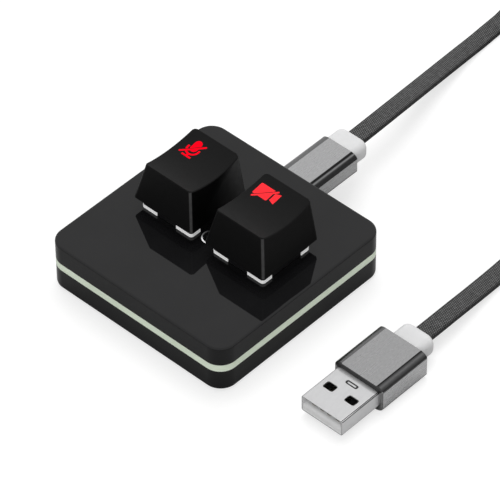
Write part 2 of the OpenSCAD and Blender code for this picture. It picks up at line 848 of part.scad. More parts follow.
// Lower housing: a flange on the plate, a box through the cut-out and a guide for the stem
key_light_size = [3.2, 2, 0.9];
key_light_y = -below_w / 2 + 1.5;

module switch_base_box() {
    difference() {
        union() {
            translate([0, 0, plate_z]) rounded_slab(flange_w, flange_w, flange_h, flange_r);
            translate([0, 0, board_top])
                rounded_slab(below_w, below_w, plate_z - board_top + tiny, 0.5);
        }
        translate([0, 0, board_top + base_floor])
            linear_extrude(height = switch_drop + flange_h) square(base_inside, center = true);
        for (s = [-1, 1]) {
            translate([-notch_w / 2, s * flange_w / 2 - notch_deep, plate_z - tiny])
                cube([notch_w, 2 * notch_deep, flange_h + 1]);
            translate([s * flange_w / 2 - notch_deep, -side_notch_w / 2, plate_z - tiny])
                cube([2 * notch_deep, side_notch_w, flange_h + 1]);
        }
        translate([-key_light_size[0] / 2 - board_gap, key_light_y - board_gap, board_top - tiny])
            cube([key_light_size[0] + 2 * board_gap, key_light_size[1] + 2 * board_gap,
                  base_floor + 2 * tiny]);
        for (p = pin_spots)
            translate([p[0], p[1], board_top - tiny])
                cylinder(d = norm(pin) + 2 * slide_gap, h = base_floor + 2 * tiny);
    }
}

module switch_base(which) {
    peg_low = board_under - 0.2;
    post_floor = 0.6;
    color(switch_white)
        translate([key_x[which], key_row_y, 0])
            difference() {
                union() {
                    switch_base_box();
                    translate([0, 0, board_top - post_below])
                        cylinder(d = post_below_d, h = post_below + base_floor);
                    translate([0, 0, board_top]) cylinder(d = guide_d, h = guide_top - board_top);
                    for (s = [-1, 1])
                        translate([s * peg_at, 0, peg_low])
                            cylinder(d = peg_d, h = board_top - peg_low + base_floor / 2);
                }
                translate([0, 0, board_top - post_below + post_floor])
                    cylinder(d = guide_bore, h = post_below + switch_drop);
            }
}

// Upper housing: a skirt over the flange, tabs in the flange's notches, leaning walls
// and a roof with the stem's opening
skirt_h = 0.4;
skirt_w = flange_w - 2 * fit_gap;
tab_gap = 0.15;

module cover_tabs(low) {
    for (a = [0, 90, 180, 270]) {
        w = (a % 180 == 0 ? notch_w : side_notch_w) - 2 * tab_gap;
        rotate([0, 0, a])
            translate([-w / 2, skirt_w / 2 - notch_deep + 2 * fit_gap, plate_z + tab_gap])
                cube([w, notch_deep - 2 * fit_gap, low - plate_z - tab_gap + tiny]);
    }
}

module cover_block(set_in, low, high) {
    hull() {
        translate([0, 0, low])
            linear_extrude(height = tiny) square(cover_low_w - 2 * set_in, center = true);
        translate([0, 0, high - tiny])
            linear_extrude(height = tiny) square(cover_top_w - 2 * set_in, center = true);
    }
}

module switch_cover(which) {
    low = plate_z + flange_h;
    opening = [stem_block[0] + 2 * slide_gap, stem_block[1] + 2 * slide_gap];
    color(cover_black)
        translate([key_x[which], key_row_y, 0])
            difference() {
                union() {
                    cover_block(0, low, housing_top);
                    translate([0, 0, low]) rounded_slab(skirt_w, skirt_w, skirt_h, flange_r);
                    cover_tabs(low);
                }
                cover_block(cover_wall, low - tiny, cover_under);
                translate([-opening[0] / 2, -opening[1] / 2, low])
                    cube([opening[0], opening[1], 2 * housing_h]);
            }
}

// Contact leaves with their pins
pin_spots = [[-3.81, 2.54], [2.54, 5.08]];
pin = [0.8, 0.4];
pin_below = 1;
leaf_t = 0.3;
leaf_w = 1.8;
leaf_h = [3.4, 3.8];
leaf_y = base_inside / 2 - 0.7;
arm = [2.2, 1.2];
arm_reach = 4.94;

module contacts(which) {
    foot_z = board_top + base_floor;
    pin_low = board_under - pin_below;
    color(gold)
        translate([key_x[which], key_row_y, 0]) {
            for (i = [0, 1]) {
                x = pin_spots[i][0];
                y = pin_spots[i][1];
                translate([x - pin[0] / 2, y - pin[1] / 2, pin_low])
                    cube([pin[0], pin[1], foot_z - pin_low + tiny]);
                translate([x - pin[0] / 2, y - pin[1] / 2, foot_z])
                    cube([pin[0], leaf_y - y + pin[1] / 2 + leaf_t, leaf_t]);
                translate([x - leaf_w / 2, leaf_y, foot_z]) cube([leaf_w, leaf_t, leaf_h[i]]);
            }
            translate([pin_spots[1][0] - arm_reach, leaf_y, foot_z + arm[0]])
                cube([arm_reach, leaf_t, arm[1]]);
        }
}

// Light on the board that shines up through the switch's slot
module key_light(which) {
    color(lamp_yellow)
        translate([key_x[which] - key_light_size[0] / 2, key_row_y + key_light_y, board_top])
            cube(key_light_size);
}

module back_plug_tip() {
    slot_room = 0.1;
    color(metal_grey)
        difference() {
            translate([0, back_y - tip_len, port_z])
                rounded_bar(tip_w, tip_h, tip_len + tip_bed, tip_round);
            translate([-tongue_w / 2 - slot_room, back_y - tip_len - tiny,
                       port_z - tongue_t / 2 - slot_room])
                cube([tongue_w + 2 * slot_room, tongue_len + 1, tongue_t + 2 * slot_room]);
        }
}

// Outline of a grip: flat top and bottom, with its four long edges rolled over
module grip_outline(w, h) {
    steps = 6;
    polygon([for (q = [0:3], k = [0:steps])
        let (sx = q == 0 || q == 3 ? 1 : -1, sz = q < 2 ? 1 : -1,
             t = 90 * ((q % 2 == 0) ? k : steps - k) / steps)
        [sx * (w / 2 - grip_edge_w * (1 - cos(t))), sz * (h / 2 - grip_edge_h * (1 - sin(t)))]]);
}

// Grip with a hollow for its core and a bevel round its front end
module grip(w, h, hollow_w, hollow_h, length, bevel) {
    intersection() {
        along_y(length)
            difference() {
                grip_outline(w, h);
                rounded_rect(hollow_w, hollow_h, core_r);
            }
        linear_extrude(height = h, center = true)
            polygon([[-w / 2, length], [-w / 2, bevel], [-w / 2 + bevel, 0],
                     [w / 2 - bevel, 0], [w / 2, bevel], [w / 2, length]]);
        rotate([90, 0, 90])
            linear_extrude(height = w, center = true)
                polygon([[length, -h / 2], [bevel, -h / 2], [0, -h / 2 + bevel],
                         [0, h / 2 - bevel], [bevel, h / 2], [length, h / 2]]);
    }
}

back_bevel = 0.2;
usb_bevel = 0.45;

module back_plug_grip() {
    color(grip_grey)
        translate([0, back_y, port_z])
            grip(back_grip_w, back_grip_h, back_core_w, back_core_h, back_grip_len, back_bevel);
}

module back_plug_core() {
    color(rubber_black)
        difference() {
            translate([0, back_y, port_z])
                rounded_bar(back_core_w, back_core_h, back_grip_len, core_r);
            translate([0, back_y - tiny, port_z])
                rounded_bar(tip_w, tip_h, tip_bed + tiny, tip_round);
        }
}

// Collar: a rounded bar whose far end closes in on the cable
module collar(w, h, length) {
    slices = 3;
    end_w = w - 2 * collar_in;
    end_h = h - 1.8;
    hull() {
        rounded_bar(w, h, tiny, collar_edge_r, $fn = 24);
        for (k = [0:slices]) {
            u = 90 * k / slices;
            slice_w = w - (w - end_w) * (1 - cos(u));
            slice_h = h - (h - end_h) * (1 - cos(u));
            translate([0, length - tiny - collar_round * (1 - sin(u)), 0])
                rounded_bar(slice_w, slice_h, tiny, min(collar_edge_r, slice_h / 2 - 0.2), $fn = 24);
        }
    }
}

module back_plug_collar() {
    color(collar_white)
        translate([back_collar_off[0], back_grip_end, port_z + back_collar_off[1]])
            collar(back_collar_w, collar_h, back_collar_len);
}

module cable_near() {
    color(cable_grey) flat_tube(near_route, [0, 1, 0], [0, 1, 0]);
}

module cable_far() {
    color(cable_grey) flat_tube(far_route, [0, -1, 0], [0, -1, 0]);
}

// The coil spirals in on the lower layer, climbs in the half turn where the
// spiral reverses, and spirals out on the upper layer
function coil_way(i) = i / rings_a_turn;
function coil_angle(i) = 180 - 360 * coil_way(i);
function coil_radius(i) = coil_r - coil_step * (coil_turns / 2 - abs(coil_way(i) - coil_turns / 2));
function ease(u) = u <= 0 ? 0 : u >= 1 ? 1 : u * u * (3 - 2 * u);
function coil_height(i) = low_z + (high_z - low_z) * ease(2 * (coil_way(i) - coil_turns / 2) + 0.5);
function coil_point(i) =
    [coil_mid[0] + coil_radius(i) * cos(coil_angle(i)),
     coil_mid[1] + coil_radius(i) * sin(coil_angle(i)), coil_height(i)];
coil_route = [for (i = [0:coil_rings - 1]) coil_point(i)];
coil_loops = [for (i = [0:coil_rings - 1])
    ring_at(coil_route[i], heading(coil_route, i, [0, 1, 0], [0, -1, 0]), 90, section6)];

module cable_coil() {
    color(cable_grey)
        polyhedron([for (ring = coil_loops) each ring], tube_faces(coil_rings, len(section6)),
                   convexity = 20);
}
coil_self_gaps = [for (i = [0:coil_rings - 1])
    let (from = i + rings_a_turn / 2) if (from < coil_rings)
    min([for (j = [from:coil_rings - 1], p = coil_loops[i], q = coil_loops[j]) norm(p - q)])];
echo(coil_least_gap = min(coil_self_gaps));

// Tie round the coil, on the side away from the body
module coil_tie() {
    inside = [tie_out - tie_in, tie_top - tie_t];
    color(rubber_black)
        translate([coil_mid[0], coil_mid[1] + (tie_in + tie_out) / 2, tie_t + inside[1] / 2])
            rotate([90, 0, 90])
                linear_extrude(height = tie_w, center = true)
                    difference() {
                        rounded_rect(inside[0] + 2 * tie_t, inside[1] + 2 * tie_t, tie_t + 0.3);
                        rounded_rect(inside[0], inside[1], 0.3);
                    }
}

module usb_plug_collar() {
    color(collar_white)
        translate([usb_x, usb_collar_y, usb_z]) collar(usb_collar_w, collar_h, collar_len);
}

module usb_plug_grip() {
    color(grip_grey)
        translate([usb_x, usb_grip_y, usb_z])
            grip(usb_grip_w, usb_grip_h, usb_core_w, usb_core_h, usb_grip_len, usb_bevel);
}

module usb_plug_core() {
    color(rubber_black)
        translate([usb_x, usb_grip_y + usb_core_set, usb_z])
            difference() {
                rounded_bar(usb_core_w, usb_core_h, usb_grip_len - usb_core_set, core_r);
                translate([0, -tiny, 0]) rounded_bar(usb_shell_w, usb_shell_h, usb_bed + tiny, usb_round);
            }
}

// Metal shell with its windows and the ring pressed into its top
module usb_plug_shell() {
    whole = usb_shell_out + usb_core_set + usb_bed;
    color(metal_grey)
        translate([usb_x, usb_front_y, usb_z])
            difference() {
                rounded_bar(usb_shell_w, usb_shell_h, whole, usb_round);
                translate([0, -tiny, 0])
                    rounded_bar(usb_shell_w - 2 * usb_sheet, usb_shell_h - 2 * usb_sheet,
                                whole + 2 * tiny, max(usb_round - usb_sheet, 0.1));
                for (s = [-1, 1])
                    translate([s * window_at[0] - window_w / 2, window_at[1] - window_len / 2, -usb_shell_h])
                        cube([window_w, window_len, 2 * usb_shell_h]);
                translate([0, mark_at, usb_shell_h / 2 - mark_deep])
                    linear_extrude(height = 1)
                        difference() {
                            rounded_rect(mark[0], mark[1], mark[1] / 2 - tiny);
                            rounded_rect(mark[0] - 2 * mark_line, mark[1] - 2 * mark_line,
                                         mark[1] / 2 - mark_line - tiny);
                        }
            }
}

insulator_w = usb_shell_w - 2 * usb_sheet - 0.06;
insulator_low = usb_z - usb_shell_h / 2 + usb_sheet;
insulator_set = 0.15;

module usb_plug_tongue() {
    room_h = usb_shell_h - 2 * usb_sheet;
    length = usb_shell_out + usb_core_set + usb_bed - insulator_set;
    color(switch_white)
        translate([usb_x, usb_front_y + insulator_set, usb_z])
            intersection() {
                rounded_bar(insulator_w, room_h, length, max(usb_round - usb_sheet, 0.1) + 0.05);
                translate([-insulator_w, -tiny, -room_h / 2 - tiny])
                    cube([2 * insulator_w, length + 1, insulator_h + tiny]);
            }
}

module usb_plug_contacts() {
    color(gold)
        for (x = pad_x)
            translate([usb_x + x - pad[0] / 2, usb_front_y + pad_set, insulator_low + insulator_h])
                cube(pad);
}

top_shell();
light_strip();
bottom_shell();
rubber_feet();
case_screws();
circuit_board();
controller_chip();
board_parts();
side_lights();
status_bezel();
status_lens();
status_light();
socket_shell();
socket_tongue();
keycap(0);  // left_keycap
legend(0);  // left_legend
stem(0);  // left_stem
spring(0);  // left_spring
switch_base(0);  // left_switch_base
switch_cover(0);  // left_switch_cover
contacts(0);  // left_contacts
key_light(0);  // left_key_light
keycap(1);  // right_keycap
legend(1);  // right_legend
stem(1);  // right_stem
spring(1);  // right_spring
switch_base(1);  // right_switch_base
switch_cover(1);  // right_switch_cover
contacts(1);  // right_contacts
key_light(1);  // right_key_light
back_plug_tip();
back_plug_core();
back_plug_grip();
back_plug_collar();
cable_near();
cable_coil();
coil_tie();
cable_far();
usb_plug_collar();
usb_plug_grip();
usb_plug_core();
usb_plug_shell();
usb_plug_tongue();
usb_plug_contacts();
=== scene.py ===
# %% [markdown]
# # A two-key mute button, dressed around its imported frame
# The object is a square gloss-black puck with a pale light strip round its middle, two
# mechanical keys on top and a flat woven cable. Its sizes and moving parts come packed, as
# the frame. This lesson makes the surfaces that show, one piece at a time, and leaves every
# size where the frame has it.

# %% Load the frame
from math import asin, atan2, cos, pi, radians, sin

import bmesh
import bpy
from mathutils import Matrix, Vector


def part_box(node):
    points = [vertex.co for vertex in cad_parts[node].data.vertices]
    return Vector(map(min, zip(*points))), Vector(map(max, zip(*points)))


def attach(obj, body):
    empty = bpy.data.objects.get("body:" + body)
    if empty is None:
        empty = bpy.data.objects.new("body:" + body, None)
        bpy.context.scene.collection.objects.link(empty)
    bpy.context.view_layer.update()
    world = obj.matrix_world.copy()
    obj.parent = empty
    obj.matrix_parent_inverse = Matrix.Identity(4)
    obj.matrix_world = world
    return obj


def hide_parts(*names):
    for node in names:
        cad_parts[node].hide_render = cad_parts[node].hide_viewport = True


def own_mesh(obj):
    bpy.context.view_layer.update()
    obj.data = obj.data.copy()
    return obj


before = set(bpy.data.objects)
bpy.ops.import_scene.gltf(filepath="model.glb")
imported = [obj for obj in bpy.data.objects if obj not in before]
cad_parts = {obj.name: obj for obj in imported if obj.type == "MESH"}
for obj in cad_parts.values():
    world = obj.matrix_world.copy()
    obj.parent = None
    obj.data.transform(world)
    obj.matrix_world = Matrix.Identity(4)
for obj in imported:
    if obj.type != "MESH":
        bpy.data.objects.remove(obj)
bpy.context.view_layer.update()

MM = 0.001
print("nodes in the frame:", len(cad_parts))

# %% [markdown]
# ## Camera
# A product picture is taken with a long lens from far away, so that edges that are parallel
# on the object stay nearly parallel. The camera is placed by the direction that it looks
# from, rather than by turning it in steps, so each number here means one thing.

# %% Camera
AZIMUTH = radians(43.33)
ELEVATION = radians(44.475)
ROLL = radians(-0.594)
DISTANCE = 937.0 * MM
LOOK_AT = Vector((0.30, 10.90, 0.5)) * MM
LENS = 294.1

toward_camera = Vector((sin(AZIMUTH) * cos(ELEVATION), -cos(AZIMUTH) * cos(ELEVATION), sin(ELEVATION)))
level_right = Vector((cos(AZIMUTH), sin(AZIMUTH), 0.0))
level_up = toward_camera.cross(level_right)
camera_right = level_right * cos(ROLL) + level_up * sin(ROLL)
camera_up = level_up * cos(ROLL) - level_right * sin(ROLL)

bpy.ops.object.camera_add()
camera = bpy.context.object
camera.matrix_world = Matrix.Translation(LOOK_AT + toward_camera * DISTANCE) @ Matrix(
    (camera_right, camera_up, toward_camera)).transposed().to_4x4()
camera.data.sensor_width = 36.0
camera.data.lens = LENS
camera.data.clip_start = 0.05
camera.data.clip_end = 20.0
bpy.context.scene.camera = camera
print("camera height over the table: %.0f mm" % (camera.location.z / MM))

# %% [markdown]
# ## The flat cable
# A flat woven cable bends easily over its thin side and hardly at all over its wide side.
# So it lies flat on the table, turns over on its edge before the coil, and is wound on edge
# there. It is one tube of rings that follows the route: short stretches through listed points to
# and from the coil, and the coil's own formula between them. The part of the tube in the frame
# has few rings, so this one is made anew with many, and with a map for its weave.

# %% Cable: size and listed points
CABLE_WIDE = 4.8
CABLE_THICK = 1.3
FLAT = 0.7
LOW_TURNS = 2.95
HIGH_TURNS = 8.2
NEAR_END = [(-0.74, 46.5, 9.2, 0), (-0.91, 53.0, 9.15, 0), (-1.48, 60.0, 8.6, 0), (-2.66, 68.0, 7.2, 0),
            (-4.49, 77.0, 4.9, 0), (-6.19, 86.0, 2.8, 0), (-7.37, 94.0, 1.4, 0), (-8.07, 102.0, FLAT, 0),
            (-8.45, 110.0, FLAT, 0), (-8.8, 117.0, 1.6, 20), (-9.05, 124.0, 2.4, 48),
            (-9.1, 131.0, 2.8, 76), (-9.1, 137.0, LOW_TURNS, 90), (-9.1, 142.0, LOW_TURNS, 90)]
FAR_END = [(50.1, 142.0, HIGH_TURNS, 90), (50.1, 136.0, HIGH_TURNS, 90), (50.0, 128.0, 7.6, 86),
           (49.8, 119.0, 6.3, 68), (49.5, 110.0, 4.7, 42), (49.0, 101.0, 2.9, 18), (48.4, 92.0, 1.5, 4),
           (47.8, 83.0, FLAT, 0), (47.4, 73.0, FLAT, 0), (47.2, 62.0, FLAT, 0), (47.2, 52.0, FLAT, 0),
           (47.6, 43.0, 0.95, 0), (48.3, 34.0, 1.9, 0), (49.1, 25.0, 3.2, 0), (49.4, 19.0, 3.65, 0),
           (49.4, 13.4, 3.65, 0)]
COIL_MIDDLE = (20.5, 142.0)
COIL_RADIUS = 29.6
COIL_STEP = 2.0
COIL_TURNS = 4.5
RINGS_A_TURN = 48
print("points chosen by hand:", len(NEAR_END), "at the back plug and", len(FAR_END), "at the big plug")

# %% Cable: a smooth way through the points


def slopes(ways, values):
    """Slopes at the points of a line that never swings past a point."""
    rise = [(b - a) / (t - s) for a, b, s, t in zip(values, values[1:], ways, ways[1:])]
    found = [rise[0]]
    for before, after in zip(rise, rise[1:]):
        found.append(0.0 if before * after <= 0 else 2 * before * after / (before + after))
    return found + [rise[-1]]


def flow(points, step=1.3):
    """Points about a step apart on a smooth line through the given ones, with their roll."""
    ways = [0.0]
    for a, b in zip(points, points[1:]):
        ways.append(ways[-1] + (Vector(b[:3]) - Vector(a[:3])).length)
    columns = list(zip(*points))
    leans = [slopes(ways, column) for column in columns]
    made = []
    for i in range(len(points) - 1):
        span = ways[i + 1] - ways[i]
        count = max(1, round(span / step))
        for k in range(count):
            u = k / count
            made.append([(1 + 2 * u) * (1 - u) ** 2 * c[i] + u * (1 - u) ** 2 * span * m[i]
                         + u * u * (3 - 2 * u) * c[i + 1] - u * u * (1 - u) * span * m[i + 1]
                         for c, m in zip(columns, leans)])
    return made + [list(points[-1])]


def coil():
    """The coil's points: inwards on the lower layer, a climb, outwards on the upper one."""
    made = []
    count = round(COIL_TURNS * RINGS_A_TURN)
    for i in range(1, count):
        turn = COIL_TURNS * i / count
        angle = pi - 2 * pi * turn
        radius = COIL_RADIUS - COIL_STEP * (COIL_TURNS / 2 - abs(turn - COIL_TURNS / 2))
        climb = min(max(2 * (turn - COIL_TURNS / 2) + 0.5, 0.0), 1.0)
        height = LOW_TURNS + (HIGH_TURNS - LOW_TURNS) * climb * climb * (3 - 2 * climb)
        made.append([COIL_MIDDLE[0] + radius * cos(angle), COIL_MIDDLE[1] + radius * sin(angle), height, 90])
    return made


cable_way = flow(NEAR_END) + coil() + flow(FAR_END)
cable_line = [Vector(p[:3]) * MM for p in cable_way]

# %% Cable: its section
CABLE_EDGE = 0.3


def cable_section():
    """The flat section with round edges, 16 points, and the way round it to each point."""
    made = []
    for sx, sy, start in ((1, 1, 0), (-1, 1, 90), (-1, -1, 180), (1, -1, 270)):
        for k in range(4):
            turn = radians(start + 30 * k)
            made.append((sx * (CABLE_WIDE / 2 - CABLE_EDGE) + CABLE_EDGE * cos(turn),
                         sy * (CABLE_THICK / 2 - CABLE_EDGE) + CABLE_EDGE * sin(turn)))
    round_it = [0.0]
    for a, b in zip(made, made[1:] + made[:1]):
        round_it.append(round_it[-1] + (Vector(b) - Vector(a)).length)
    return made, round_it

# %% Cable: its mesh


def build_cable():
    """One ring of corners at each point of the way, and a map that says how far along and round."""
    section, round_it = cable_section()
    sides = len(section)
    mesh = bmesh.new()
    rings = []
    run = [0.0]
    last = len(cable_line) - 1
    for i, spot in enumerate(cable_line):
        ahead = (cable_line[min(i + 1, last)] - cable_line[max(i - 1, 0)]).normalized()
        side = Vector((0.0, 0.0, 1.0)).cross(ahead).normalized()
        up = ahead.cross(side)
        roll = radians(cable_way[i][3])
        across = side * cos(roll) + up * sin(roll)
        over = up * cos(roll) - side * sin(roll)
        rings.append([mesh.verts.new(spot + (across * x + over * y) * MM) for x, y in section])
        if i:
            run.append(run[-1] + (spot - cable_line[i - 1]).length / MM)
    weave_map = mesh.loops.layers.uv.new("weave")
    for i in range(last):
        for k in range(sides):
            n = (k + 1) % sides
            face = mesh.faces.new((rings[i][k], rings[i + 1][k], rings[i + 1][n], rings[i][n]))
            face.smooth = True
            spots = ((run[i], round_it[k]), (run[i + 1], round_it[k]),
                     (run[i + 1], round_it[k + 1]), (run[i], round_it[k + 1]))
            for corner, spot in zip(face.loops, spots):
                corner[weave_map].uv = spot
    mesh.faces.new(rings[0])
    mesh.faces.new(list(reversed(rings[-1])))
    bmesh.ops.recalc_face_normals(mesh, faces=mesh.faces)
    data = bpy.data.meshes.new("woven_cable")
    mesh.to_mesh(data)
    mesh.free()
    made = bpy.data.objects.new("woven_cable", data)
    bpy.context.collection.objects.link(made)
    return made


woven_cable = build_cable()
print("cable: %d faces" % len(woven_cable.data.polygons))

# %% [markdown]
# ## Working by hand in code
# The operators act on what is selected, as they do under the mouse. These helpers add a
# primitive at its size, select in edit mode by place, and finish with modifiers that are
# applied at once. All of their sizes are in millimetres.

# %% Helpers for picking a piece


def rest():
    """Goes back to object mode with nothing selected."""
    if bpy.context.object and bpy.context.object.mode == "EDIT":
        bpy.ops.object.mode_set(mode="OBJECT")
    bpy.ops.object.select_all(action="DESELECT")


def take(obj):
    """Makes one object the only one selected, and the active one."""
    rest()
    obj.select_set(True)
    bpy.context.view_layer.objects.active = obj


def settle(obj):
    """Puts a piece's place into its mesh."""
    take(obj)
    bpy.ops.object.transform_apply(location=True, rotation=True, scale=True)

# %% Helpers for adding


def add_block(name, low, high):
    """Adds a box between its lowest and highest corners."""
    rest()
    bpy.ops.mesh.primitive_cube_add(size=1.0)
    obj = bpy.context.object
    obj.name = name
    obj.location = [(a + b) / 2 * MM for a, b in zip(low, high)]
    obj.scale = [(b - a) * MM for a, b in zip(low, high)]
    settle(obj)
    return obj


def add_rod(name, centre, radius, length, axis="Z", sides=48):
    """Adds a cylinder by its middle, along one axis."""
    rest()
    turn = {"X": (0.0, pi / 2, 0.0), "Y": (pi / 2, 0.0, 0.0), "Z": (0.0, 0.0, 0.0)}[axis]
    bpy.ops.mesh.primitive_cylinder_add(vertices=sides, radius=radius * MM, depth=length * MM,
                                        location=[c * MM for c in centre], rotation=turn)
    obj = bpy.context.object
    obj.name = name
    settle(obj)
    return obj

# %% Helpers for selecting


def edit(obj):
    """Opens a piece in edit mode with nothing selected."""
    take(obj)
    bpy.ops.object.mode_set(mode="EDIT")
    bpy.ops.mesh.select_all(action="DESELECT")


def choose(kind, passes):
    """In edit mode, selects the vertices, edges or faces that pass a test of their middle."""
    bpy.ops.mesh.select_mode(type=kind)
    bpy.ops.mesh.select_all(action="DESELECT")
    mesh = bmesh.from_edit_mesh(bpy.context.edit_object.data)
    items = {"VERT": mesh.verts, "EDGE": mesh.edges, "FACE": mesh.faces}[kind]
    for item in items:
        spots = [item.co] if kind == "VERT" else [v.co for v in item.verts]
        middle = sum(spots, Vector()) / len(spots) / MM
        if passes(middle, item):
            item.select_set(True)
    mesh.select_flush_mode()
    bmesh.update_edit_mesh(bpy.context.edit_object.data)

# %% [markdown]
# ## Choosing faces and edges without a mouse
# Numbers of faces change whenever a step before them does. A test of where a face or an edge
# is, or of which way it looks, still finds it then, and it says what is meant.

# %% Tests for selecting


def along(axis, share=0.999):
    """A test for edges that run along one axis."""
    def passes(middle, item):
        way = (item.verts[1].co - item.verts[0].co).normalized()
        return abs(way[axis]) > share
    return passes


def facing(axis, sign):
    """A test for faces that look along one axis."""
    def passes(middle, item):
        return item.normal[axis] * sign > 0.99
    return passes


def level_with(axis, value, slack=0.01):
    """A test for what lies on one plane."""
    def passes(middle, item):
        return all(abs(v.co[axis] / MM - value) < slack for v in item.verts)
    return passes


# %% [markdown]
# ## Finishing a shape
# A moulded or stamped part has no truly sharp edge, and its holes are made by tools that go
# through it. Holes could be built face by face. A boolean with a simple tool body is quicker
# to read and keeps its size plain. Rounding and shading come last, since a cut spoils both.

# %% Helpers for cutting and joining


def apply_all(obj):
    """Applies a piece's modifiers in their order."""
    take(obj)
    for name in [m.name for m in obj.modifiers]:
        bpy.ops.object.modifier_apply(modifier=name)


def cut(obj, *tools):
    """Takes tools out of a piece, one boolean each, and throws the tools away."""
    for tool in tools:
        knife = obj.modifiers.new("cut", "BOOLEAN")
        knife.operation = "DIFFERENCE"
        knife.solver = "EXACT"
        knife.object = tool
        apply_all(obj)
        bpy.data.objects.remove(tool)


def weld(obj, *others):
    """Joins others to a piece as one solid."""
    for other in others:
        glue = obj.modifiers.new("weld", "BOOLEAN")
        glue.operation = "UNION"
        glue.solver = "EXACT"
        glue.object = other
        apply_all(obj)
        bpy.data.objects.remove(other)

# %% Helpers for rounding and shading


def soften(obj, width, segments=3, angle=40.0):
    """Rounds every edge sharper than an angle, as a mould or a tumbler leaves it."""
    bevel = obj.modifiers.new("soften", "BEVEL")
    bevel.width = width * MM
    bevel.segments = segments
    bevel.limit_method = "ANGLE"
    bevel.angle_limit = radians(angle)
    bevel.miter_outer = "MITER_ARC"
    apply_all(obj)


def smooth(obj, angle=35.0):
    """Shades curves smooth, and lets the large flat faces keep their own direction."""
    take(obj)
    bpy.ops.object.shade_smooth_by_angle(angle=radians(angle))
    even = obj.modifiers.new("even", "WEIGHTED_NORMAL")
    even.keep_sharp = True
    even.weight = 100
    apply_all(obj)


def round_off(width, segments):
    """In edit mode, rounds the chosen edges."""
    bpy.ops.mesh.bevel(offset=width * MM, segments=segments, affect="EDGES")

# %% [markdown]
# ## Opening a bar into a tube
# Sheet and moulded sleeves have one even wall. Insetting both ends of a bar by the wall and
# joining the two inner rims leaves just that, with fewer faces than a cut with a tool.

# %% Helpers for tubes


def join_open_rims():
    """In edit mode, removes the chosen end faces and joins the rims that they leave with a wall."""
    bpy.ops.mesh.delete(type="ONLY_FACE")
    bpy.ops.mesh.select_mode(type="EDGE")
    bpy.ops.mesh.select_non_manifold(extend=False)
    bpy.ops.mesh.bridge_edge_loops()
    bpy.ops.mesh.select_all(action="SELECT")
    bpy.ops.mesh.normals_make_consistent(inside=False)


def open_through(axis, wall, share=(1.0, 1.0, 1.0), centre=(0.0, 0.0, 0.0)):
    """In edit mode on a bar, insets both ends, may draw the insets in, and leaves a tube."""
    choose("FACE", lambda middle, item: abs(item.normal[axis]) > 0.99)
    bpy.ops.mesh.inset(thickness=wall * MM, use_even_offset=True)
    bpy.ops.transform.resize(value=share, center_override=[c * MM for c in centre])
    join_open_rims()


def draw_out(centre, steps):
    """In edit mode, draws the chosen end along Y by (way, share of width, share of height)."""
    wide, high = 1.0, 1.0
    for way, new_wide, new_high in steps:
        bpy.ops.mesh.extrude_region_move(TRANSFORM_OT_translate={"value": (0.0, way * MM, 0.0)})
        bpy.ops.transform.resize(value=(new_wide / wide, 1.0, new_high / high),
                                 center_override=[c * MM for c in centre])
        wide, high = new_wide, new_high

# %% [markdown]
# ## Marks, bodies and materials
# Some finishes follow an edge round. A number on each corner of the mesh tells them where
# they are on it. Each finished piece is then tied to the body that it moves with, and the
# solids of the frame that it stands for are hidden.

# %% Helpers for dressing a piece


def mark_corners(obj, name, rule):
    """Writes a number on each corner of each face, which a finish can follow along an edge."""
    mesh = obj.data
    mark = mesh.attributes.new(name, "FLOAT", "CORNER")
    for face in mesh.polygons:
        for corner in face.loop_indices:
            spot = mesh.vertices[mesh.loops[corner].vertex_index].co / MM
            mark.data[corner].value = rule(spot, face, mesh.corner_normals[corner].vector)


def wear(piece, body, slot, material, *nodes):
    """Gives a finished piece its body and its material, and hides the frame's nodes that it stands for."""
    piece.data.materials.clear()
    piece.data.materials.append(material)
    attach(piece, body)
    if nodes:
        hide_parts(*nodes)
    print("%-18s %6d faces" % (piece.name, len(piece.data.polygons)))


def dress(material, *nodes):
    """Gives nodes of the frame a better material."""
    for name in nodes:
        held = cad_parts[name]
        if not held.material_slots:
            held.data.materials.append(material)
        for place in held.material_slots:
            place.material = material
    print("%-18s on %s" % (material.name, ", ".join(nodes)))


# %% [markdown]
# ## Materials
# A material is a small machine: a texture that reads the piece's own coordinates in metres,
# something that turns it into a colour, a roughness or a height, and the shader. These
# helpers write those three steps once, so that each finish below says only what it is.

# %% Helpers for a shader and its nodes


def new_finish(name, color, roughness, metallic=0.0, ior=1.5, specular=0.5):
    """An even finish to start from, set on the shader itself."""
    material = bpy.data.materials.new(name)
    material.use_nodes = True
    shader = material.node_tree.nodes["Principled BSDF"]
    shader.inputs["Base Color"].default_value = (*color, 1.0)
    shader.inputs["Roughness"].default_value = roughness
    shader.inputs["Metallic"].default_value = metallic
    shader.inputs["IOR"].default_value = ior
    shader.inputs["Specular IOR Level"].default_value = specular
    return material


def add_node(material, kind, **values):
    """Adds a node and sets its inputs by name, with spaces written as underscores."""
    made = material.node_tree.nodes.new(kind)
    for name, value in values.items():
        made.inputs[name.replace("_", " ")].default_value = value
    return made


def link(material, start, end):
    """Joins an output to an input."""
    material.node_tree.links.new(start, end)


def shader_of(material):
    """The shader that every finish here ends in."""
    return material.node_tree.nodes["Principled BSDF"]


def work_out(material, operation, *terms):
    """A Math node on outputs and plain numbers."""
    made = material.node_tree.nodes.new("ShaderNodeMath")
    made.operation = operation
    for socket, term in zip(made.inputs, terms):
        if isinstance(term, (int, float)):
            socket.default_value = term
        else:
            link(material, term, socket)
    return made.outputs["Value"]

# %% Helpers for patterns
NOISE_LOW = 0.35
NOISE_HIGH = 0.65
print("noise is read from", NOISE_LOW, "to", NOISE_HIGH, "where most of it lies")


